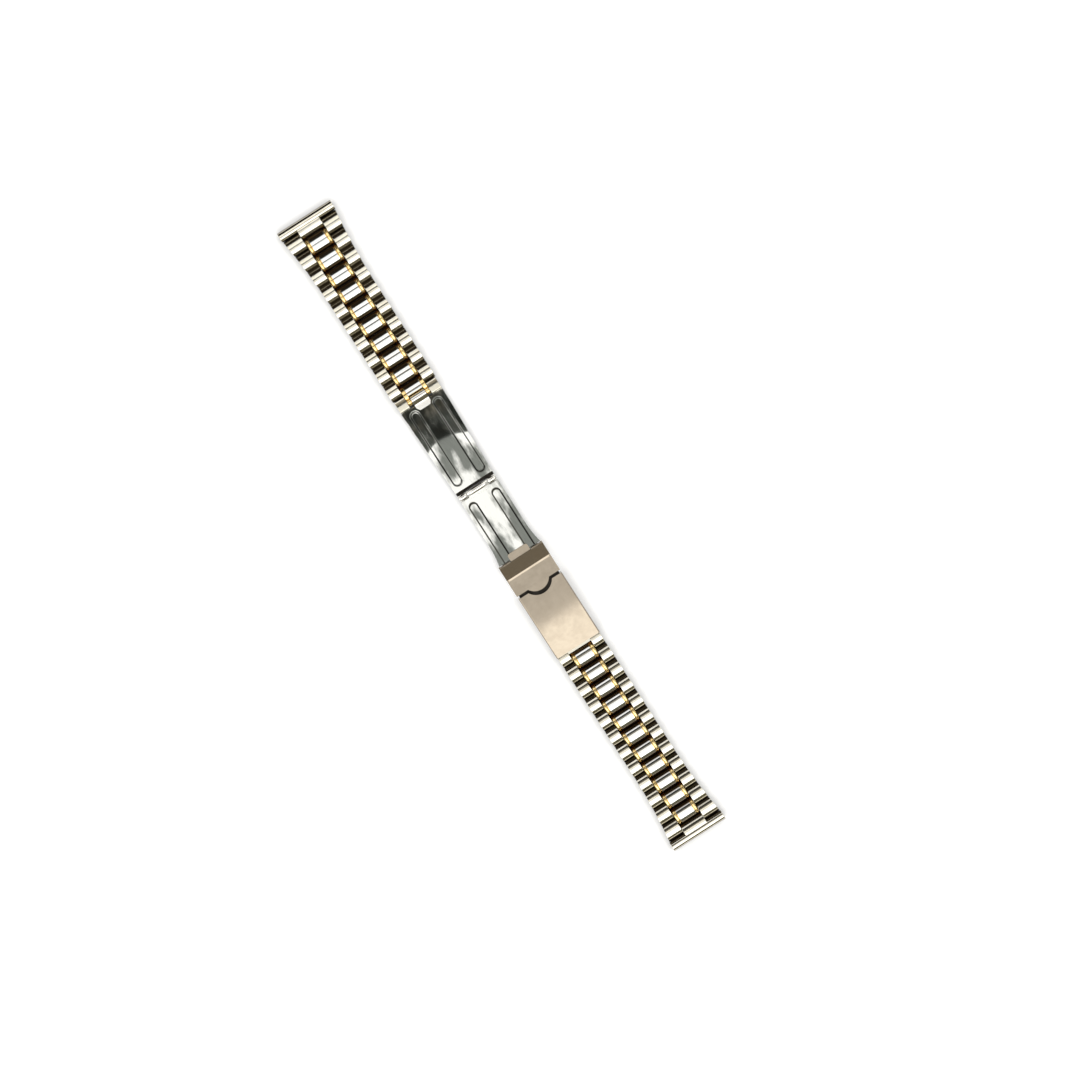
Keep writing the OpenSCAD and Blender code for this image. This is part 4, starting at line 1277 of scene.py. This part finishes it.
def adapter():
    """Tube on the clasp's spring bar, its web, the strand's last half row and the pin in it."""
    tube_from, wing_end = ends_of("strand_adapter")
    middle = wing_end - LINK_LEN / 2
    wing_from = COVER_END + TURN_GAP + LANE_GAP
    half = INNER_Y - LANE_GAP
    pin_x = middle + PITCH / 4

    def wings(shape):
        for ends in both_ways(CENTRE_W / 2 + LANE_GAP, STRAND_W / 2):
            prism(shape, link_profile(middle, wing_from, wing_end), *ends)

    def centre_end(shape):
        centre = middle - PITCH / 2
        outline = link_profile(centre, wing_from, centre + LINK_LEN / 2, BEAD_DROP)
        prism(shape, outline, -CENTRE_W / 2, CENTRE_W / 2)

    def bar_tube(shape):
        bore_r, web_in, web_out, web_under, web_over = 0.8, 0.9, 0.6, 1.05, 0.95
        barrel(shape, BAR_X, BAR_Z, BAR_X - tube_from, bore_r, -half, half)
        web = box_outline(BAR_X + web_in, wing_from + web_out, BAR_Z - web_under, BAR_Z + web_over)
        prism(shape, web, -half, half)

    def pin_hole(shape):
        cross_hole(shape, pin_x, PIN_Z, PIN_D / 2 + PIN_PLAY)

    def pin(shape):
        inset = STRAND_W / 2 - PIN_INSET
        barrel(shape, pin_x, PIN_Z, PIN_D / 2, 0, -inset, inset, soft=0.05, steps=24)

    # Dirt and painted shade: the adapter's wings darken towards their ends through their end share
    steel, share = FINISHES["satin_steel"], away_from(middle, LINK_LEN / 2)
    parts = [modelled("adapter_wings", wings, steel, edge=0.16, cutters=(pin_hole,), share=share),
             modelled("adapter_centre", centre_end, steel, edge=0.12),
             modelled("adapter_tube", bar_tube, steel, edge=0.03),
             modelled("adapter_pin", pin, FINISHES["pin_steel"], edge=0.0)]
    place(joined("strand_adapter_turned", parts), "adapter", "satin_steel", "strand_adapter")


def turned_pins():
    """The pins and the spring bar of the CAD model, in their finish."""
    for node in ("connecting_pin", "mid_hinge_pin", "cover_hinge_pin", "flap_pivot_pins",
                 "bar_barrel", "bar_plungers", "bar_spring"):
        mesh = frame["nodes"][node].data
        mesh.materials.clear()
        mesh.materials.append(FINISHES["pin_steel"])


end_tube("a")
end_tube("b")
fork()
adapter()
turned_pins()


# Camera

PHOTO_SIZE = 1080
PHOTO_CENTRE = (505.5, 531.5)
PX_PER_MM = 3.43
SENSOR_W = 36.0
CAMERA_RANGE = 520 * MM
CAMERA_LEAN = math.radians(5.5)
ROLL = math.radians(90 - 32.64)


def camera():
    """The camera above the bracelet, at the photograph's angle and framing."""
    lens = bpy.data.cameras.new("camera")
    eye = linked_object("camera", lens)
    lens.sensor_width = SENSOR_W
    lens.lens = SENSOR_W * CAMERA_RANGE / (PHOTO_SIZE / PX_PER_MM * MM)
    lens.clip_start = 0.01
    back = Vector((-math.sin(CAMERA_LEAN), 0, math.cos(CAMERA_LEAN)))
    along = Vector((math.cos(CAMERA_LEAN), 0, math.sin(CAMERA_LEAN)))
    across = Vector((0, 1, 0))
    right = along * math.cos(ROLL) + across * math.sin(ROLL)
    up = back.cross(right)
    off_right, off_down = ((PHOTO_SIZE / 2 - centre) / PX_PER_MM * MM for centre in PHOTO_CENTRE)
    target = right * off_right - up * off_down
    turn = Matrix((right, up, back)).transposed()
    eye.matrix_world = Matrix.Translation(target + back * CAMERA_RANGE) @ turn.to_4x4()
    scene.camera = eye


camera()


# Floor and light

def floor():
    """A plain pale floor that shows white to the camera and in the metal, keeps the shadow, and has painted
    shade near the object.
    """
    reach, drop = 3.0, -0.02 * MM
    shade_distance = 3 * MM
    least_light, tone, shown_tone = 0.3, 0.55, 0.60
    gap_dark, gap_open = 0.16, 0.46
    mesh = bpy.data.meshes.new("floor")
    corners = [(x * reach, y * reach, drop) for x, y in ((-1, -1), (1, -1), (1, 1), (-1, 1))]
    mesh.from_pydata(corners, [], [(0, 1, 2, 3)])
    ground = linked_object("floor", mesh)
    material = bpy.data.materials.new("pale floor")
    material.use_nodes = True
    tree = material.node_tree
    tree.nodes.clear()
    # Painted shade: the floor's colour and glow darken near the object and in narrow gaps under it, by
    # ambient occlusion
    openness = add(tree, "ShaderNodeAmbientOcclusion", {"Distance": shade_distance}).outputs["AO"]
    in_gap = eased(tree, openness, gap_dark, gap_open)
    light_left = times(tree, calc(tree, "MULTIPLY_ADD", openness, 1 - least_light, least_light), in_gap)
    grey = times(tree, light_left, tone)
    shade = add(tree, "ShaderNodeCombineColor", {"Red": grey, "Green": grey, "Blue": grey})
    matt = add(tree, "ShaderNodeBsdfDiffuse", {"Color": shade.outputs[0]})
    path = add(tree, "ShaderNodeLightPath").outputs
    mirrored = calc(tree, "MAXIMUM", path["Is Glossy Ray"], path["Is Transmission Ray"])
    seen = calc(tree, "MAXIMUM", path["Is Camera Ray"], mirrored)
    strength = times(tree, times(tree, seen, shown_tone), light_left)
    glow = add(tree, "ShaderNodeEmission", {"Color": (1, 1, 1, 1), "Strength": strength})
    both = add(tree, "ShaderNodeAddShader", {0: matt.outputs[0], 1: glow.outputs[0]})
    out = add(tree, "ShaderNodeOutputMaterial")
    tree.links.new(both.outputs[0], out.inputs["Surface"])
    mesh.materials.append(material)


def softbox(name, centre, size, radiance, colour, aim=None):
    """A rectangular lamp that faces the point it is aimed at, or else straight down."""
    lamp = bpy.data.lights.new(name, "AREA")
    lamp.shape = "RECTANGLE"
    lamp.size, lamp.size_y = size
    lamp.energy = radiance * math.pi * size[0] * size[1]
    lamp.color = colour
    item = linked_object(name, lamp)
    item.location = centre
    item.rotation_mode = "QUATERNION"
    facing = Vector(centre) - Vector(aim or (centre[0], centre[1], 0.0))
    item.rotation_quaternion = facing.to_track_quat("Z", "Y")
    item.visible_camera = False


# Tones around the bracelet by lean in degrees from straight up, towards -X below 0 and +X above 0
ROOM_TONES = (
    (-100, (0.02, 0.013, 0.007)), (-54, (0.02, 0.014, 0.008)), (-46, (0.05, 0.05, 0.045)),
    (-28, (0.055, 0.055, 0.048)), (-21, (0.34, 0.315, 0.26)), (-11, (0.34, 0.305, 0.24)),
    (-6, (0.06, 0.062, 0.055)), (-2, (0.075, 0.083, 0.072)), (6, (0.17, 0.18, 0.16)),
    (40, (0.6, 0.6, 0.58)), (46, (1.1, 1.1, 1.05)), (56, (1.1, 1.08, 1.0)),
    (60, (0.20, 0.18, 0.12)), (92, (0.17, 0.15, 0.09)),
)
SIDE_TONE = (0.6, 0.6, 0.57, 1.0)
SHOWN_TONE = (0.95, 0.95, 0.94, 1.0)


def world():
    """Plain surroundings: dark beyond strand A, olive beyond strand B, and pale to both sides."""
    surroundings = bpy.data.worlds.new("studio")
    scene.world = surroundings
    surroundings.use_nodes = True
    tree = surroundings.node_tree
    tree.nodes.clear()
    direction = add(tree, "ShaderNodeTexCoord").outputs["Generated"]
    along = add(tree, "ShaderNodeSeparateXYZ", {0: direction}).outputs
    lean = calc(tree, "DIVIDE", calc(tree, "ARCTAN2", along[0], along[2]), math.pi)
    ramp = add(tree, "ShaderNodeValToRGB", {"Fac": calc(tree, "MULTIPLY_ADD", lean, 0.5, 0.5)})
    stops = ramp.color_ramp.elements
    stops.remove(stops[1])
    for number, (degrees, tone) in enumerate(ROOM_TONES):
        stop = stops.new(0.5) if number else stops[0]
        stop.position = degrees / 360 + 0.5
        stop.color = (*tone, 1)
    sideways = calc(tree, "ABSOLUTE", along[1])
    side_from, side_to = 0.3, 0.5
    dim_from, dim_to, dimmest = 0.78, 0.95, 0.4
    room = blend_colours(tree, eased(tree, sideways, side_from, side_to), ramp.outputs["Color"], SIDE_TONE)
    dimmed = eased(tree, sideways, dim_from, dim_to, 1.0, dimmest)
    seen = add(tree, "ShaderNodeLightPath").outputs["Is Camera Ray"]
    shown = blend_colours(tree, seen, room, SHOWN_TONE)
    strength = calc(tree, "MAXIMUM", dimmed, seen)
    glow = add(tree, "ShaderNodeBackground", {"Color": shown, "Strength": strength})
    out = add(tree, "ShaderNodeOutputWorld")
    tree.links.new(glow.outputs[0], out.inputs["Surface"])


def lamps():
    """Softboxes over the bracelet, beyond strand B, near strand A, and one from the side."""
    soft_white = (1.0, 0.99, 0.97)
    softbox("upper softbox", (0.054, -0.05, 0.6), size=(0.228, 0.9), radiance=1.1, colour=soft_white)
    softbox("outer softbox", (0.459, -0.05, 0.6), size=(0.582, 0.9), radiance=2.3, colour=(1.0, 0.99, 0.96))
    softbox("near softbox", (-0.1855, 0.0, 0.2), size=(0.149, 0.5), radiance=1.15, colour=soft_white)
    softbox("key softbox", (0.1, -0.55, 0.45), size=(0.4, 0.3), radiance=1.6, colour=(1.0, 0.98, 0.94),
            aim=(0.0, 0.0, 0.0))


floor()
world()
lamps()
scene.view_settings.view_transform = "Standard"
